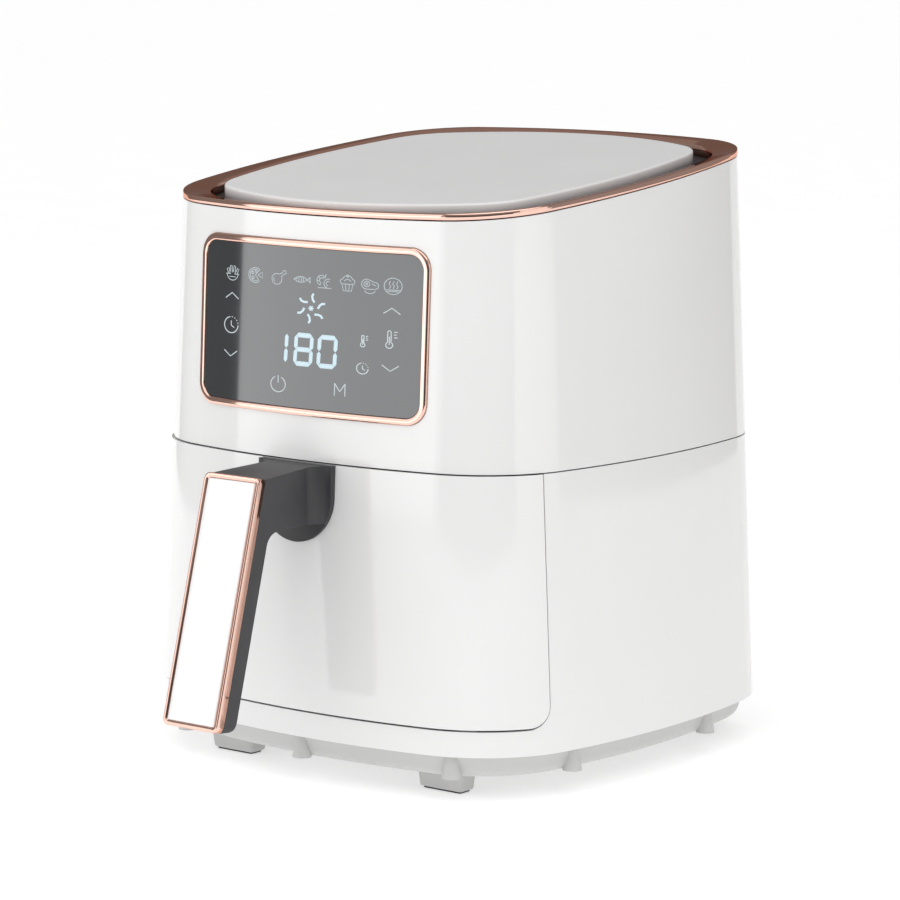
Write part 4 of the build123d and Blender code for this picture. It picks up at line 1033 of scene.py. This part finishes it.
outside = [pan_loop(60 * MM, pan_low.z)] + floor_turn(9 * MM, 0, pan_low.z)[::-1]
rim = [pan_loop(0, rim_z - 1 * MM), pan_loop(-0.3 * MM, rim_z), pan_loop(0.3 * MM - rim_width, rim_z),
       pan_loop(-rim_width, rim_z + 0.6 * MM), pan_loop(0.3 * MM - rim_width, rim_z + 1.2 * MM),
       pan_loop(-0.2 * MM, rim_z + 1.2 * MM), pan_loop(0, rim_z + 2 * MM),
       pan_loop(0, pan_high.z - 0.4 * MM),
       pan_loop(0.6 * MM, pan_high.z), pan_loop(pan_wall, pan_high.z - 0.4 * MM)]
inside = floor_turn(8 * MM, pan_wall, pan_low.z + pan_wall) + [pan_loop(60 * MM, pan_low.z + pan_wall)]
pan = loft("pan_body", outside + rim + inside, "capped")
placed(pan, "drawer", "nonstick", ["pan"])
print(pan.name, len(pan.data.polygons), "faces")

# %% [markdown]
# ## Studio and camera
# The floor is a pale light table: it glows a little, which lights the body from below and keeps the
# surround even. The rest of the room is dim, because plated trim only looks like metal when it has both
# dark and bright things to reflect. Real studios do this with black and white cards. The cards here cast
# no shadow and show in no view. Reflections see them all, and the one at the rear right also takes some
# stray light off the body, as a black flag does.

# %% Floor and room
floor_mesh = bpy.data.meshes.new("floor")
floor_mesh.from_pydata([(-60, -60, 0), (60, -60, 0), (60, 60, 0), (-60, 60, 0)], [], [(0, 1, 2, 3)])
floor = bpy.data.objects.new("floor", floor_mesh)
bpy.context.scene.collection.objects.link(floor)
pale_floor = finish("pale floor", (0.90, 0.90, 0.90), (0.88, 0.88, 0.88), (0.6, 0.7))
floor_surface = pale_floor.node_tree.nodes["Principled BSDF"]
floor_glow = 0.40
floor_surface.inputs["Emission Color"].default_value = (1, 1, 1, 1)
floor_surface.inputs["Emission Strength"].default_value = floor_glow
floor.data.materials.append(pale_floor)
floor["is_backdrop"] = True

world = bpy.data.worlds.new("studio")
bpy.context.scene.world = world
world.use_nodes = True
room = world.node_tree.nodes["Background"]
room_light = 0.27
room.inputs["Color"].default_value = (1, 1, 1, 1)
room.inputs["Strength"].default_value = room_light
print("floor glow", floor_glow, "and room light", room_light)


# %% Lights
def aimed(light, place, target):
    """Puts a light in place, facing target."""
    light.location = place
    light.rotation_euler = (Vector(target) - Vector(place)).to_track_quat("-Z", "Y").to_euler()
    bpy.context.scene.collection.objects.link(light)
    return light


def around(azimuth, distance, z):
    """A place round the object; azimuth is in degrees from the front, to the right."""
    turn = math.radians(azimuth)
    return (distance * math.sin(turn), axis_y - distance * math.cos(turn), z)


def soft_box(name, azimuth, distance, z, width, height, radiance):
    """An upright rectangular light that faces the object."""
    data = bpy.data.lights.new(name, "AREA")
    data.shape = "RECTANGLE"
    data.size = width
    data.size_y = height
    data.energy = radiance * math.pi * width * height
    return aimed(bpy.data.objects.new(name, data), around(azimuth, distance, z), (0, axis_y, z))


soft_box("front_left", -29.7, 1.5, 0.71, 1.20, 1.38, 1.03)
right_fill = soft_box("right_fill", 60, 1.7, 0.75, 0.8, 1.3, 1.4)
right_fill.visible_glossy = False
left_fill = soft_box("left_fill", -74, 1.7, 0.75, 0.8, 1.3, 1.6)
left_fill.visible_glossy = False
overhead = bpy.data.lights.new("overhead", "SUN")
overhead.energy = 1.45
overhead.angle = math.radians(70)
aimed(bpy.data.objects.new("overhead", overhead), around(52, 1.0, 3.0), (0, axis_y, 0))
print("lights placed")


# %% Cards
def card(name, azimuth, distance, width, low, high, shade):
    """An upright card that reflections see, and neither views nor shadows do."""
    across = math.radians(azimuth)
    side = Vector((math.cos(across), math.sin(across), 0)) * width / 2
    middle = Vector(around(azimuth, distance, 0))
    corners = [middle - side, middle + side]
    points = [corners[0] + Vector((0, 0, low)), corners[1] + Vector((0, 0, low)),
              corners[1] + Vector((0, 0, high)), corners[0] + Vector((0, 0, high))]
    piece = new_piece(name, points, [(0, 1, 2, 3)])
    shade_finish = finish(name + " shade", (0.01, 0.01, 0.01), (0.008, 0.008, 0.008), (0.8, 0.9))
    surface = shade_finish.node_tree.nodes["Principled BSDF"]
    surface.inputs["Emission Color"].default_value = (1.0, 0.96, 0.93, 1)
    surface.inputs["Emission Strength"].default_value = shade
    piece.data.materials.append(shade_finish)
    piece.visible_camera = False
    piece.visible_diffuse = False
    piece.visible_shadow = False
    piece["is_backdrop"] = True
    return piece


card("rear_left_card", -142, 2.4, 3.4, 0.42, 1.75, 0.15)
card("left_card", -74, 1.3, 1.1, 0.0, 1.0, 0.2)
card("front_card", 33, 1.5, 2.2, 0.0, 0.5, 0.06)
card("bright_card", 92, 1.5, 0.9, 0.0, 1.0, 1.1)
card("rear_right_card", 137, 0.8, 0.75, 0.08, 0.7, 0.3).visible_diffuse = True
print("cards placed")

# %% Camera
azimuth, elevation, roll = (math.radians(a) for a in (38.46, 8.42, 0.22))
camera_data = bpy.data.cameras.new("camera")
camera_data.lens = 151.6
camera_data.sensor_width = 36
camera = bpy.data.objects.new("camera", camera_data)
camera.location = (1.2813, axis_y - 1.6231, 0.4674)
turn = Matrix.Rotation(azimuth, 4, "Z") @ Matrix.Rotation(math.pi / 2 - elevation, 4, "X")
camera.rotation_euler = (turn @ Matrix.Rotation(roll, 4, "Z")).to_euler()
bpy.context.scene.collection.objects.link(camera)
bpy.context.scene.camera = camera
bpy.context.scene.view_settings.view_transform = "Standard"
print("camera at", [round(v, 3) for v in camera.location])

# %% Compare the boxes and finish
new_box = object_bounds()
growth = [round((b - a) / MM, 2) for a, b in zip(cad_box[1], new_box[1])]
print("box grew by", growth, "mm at the high corner")
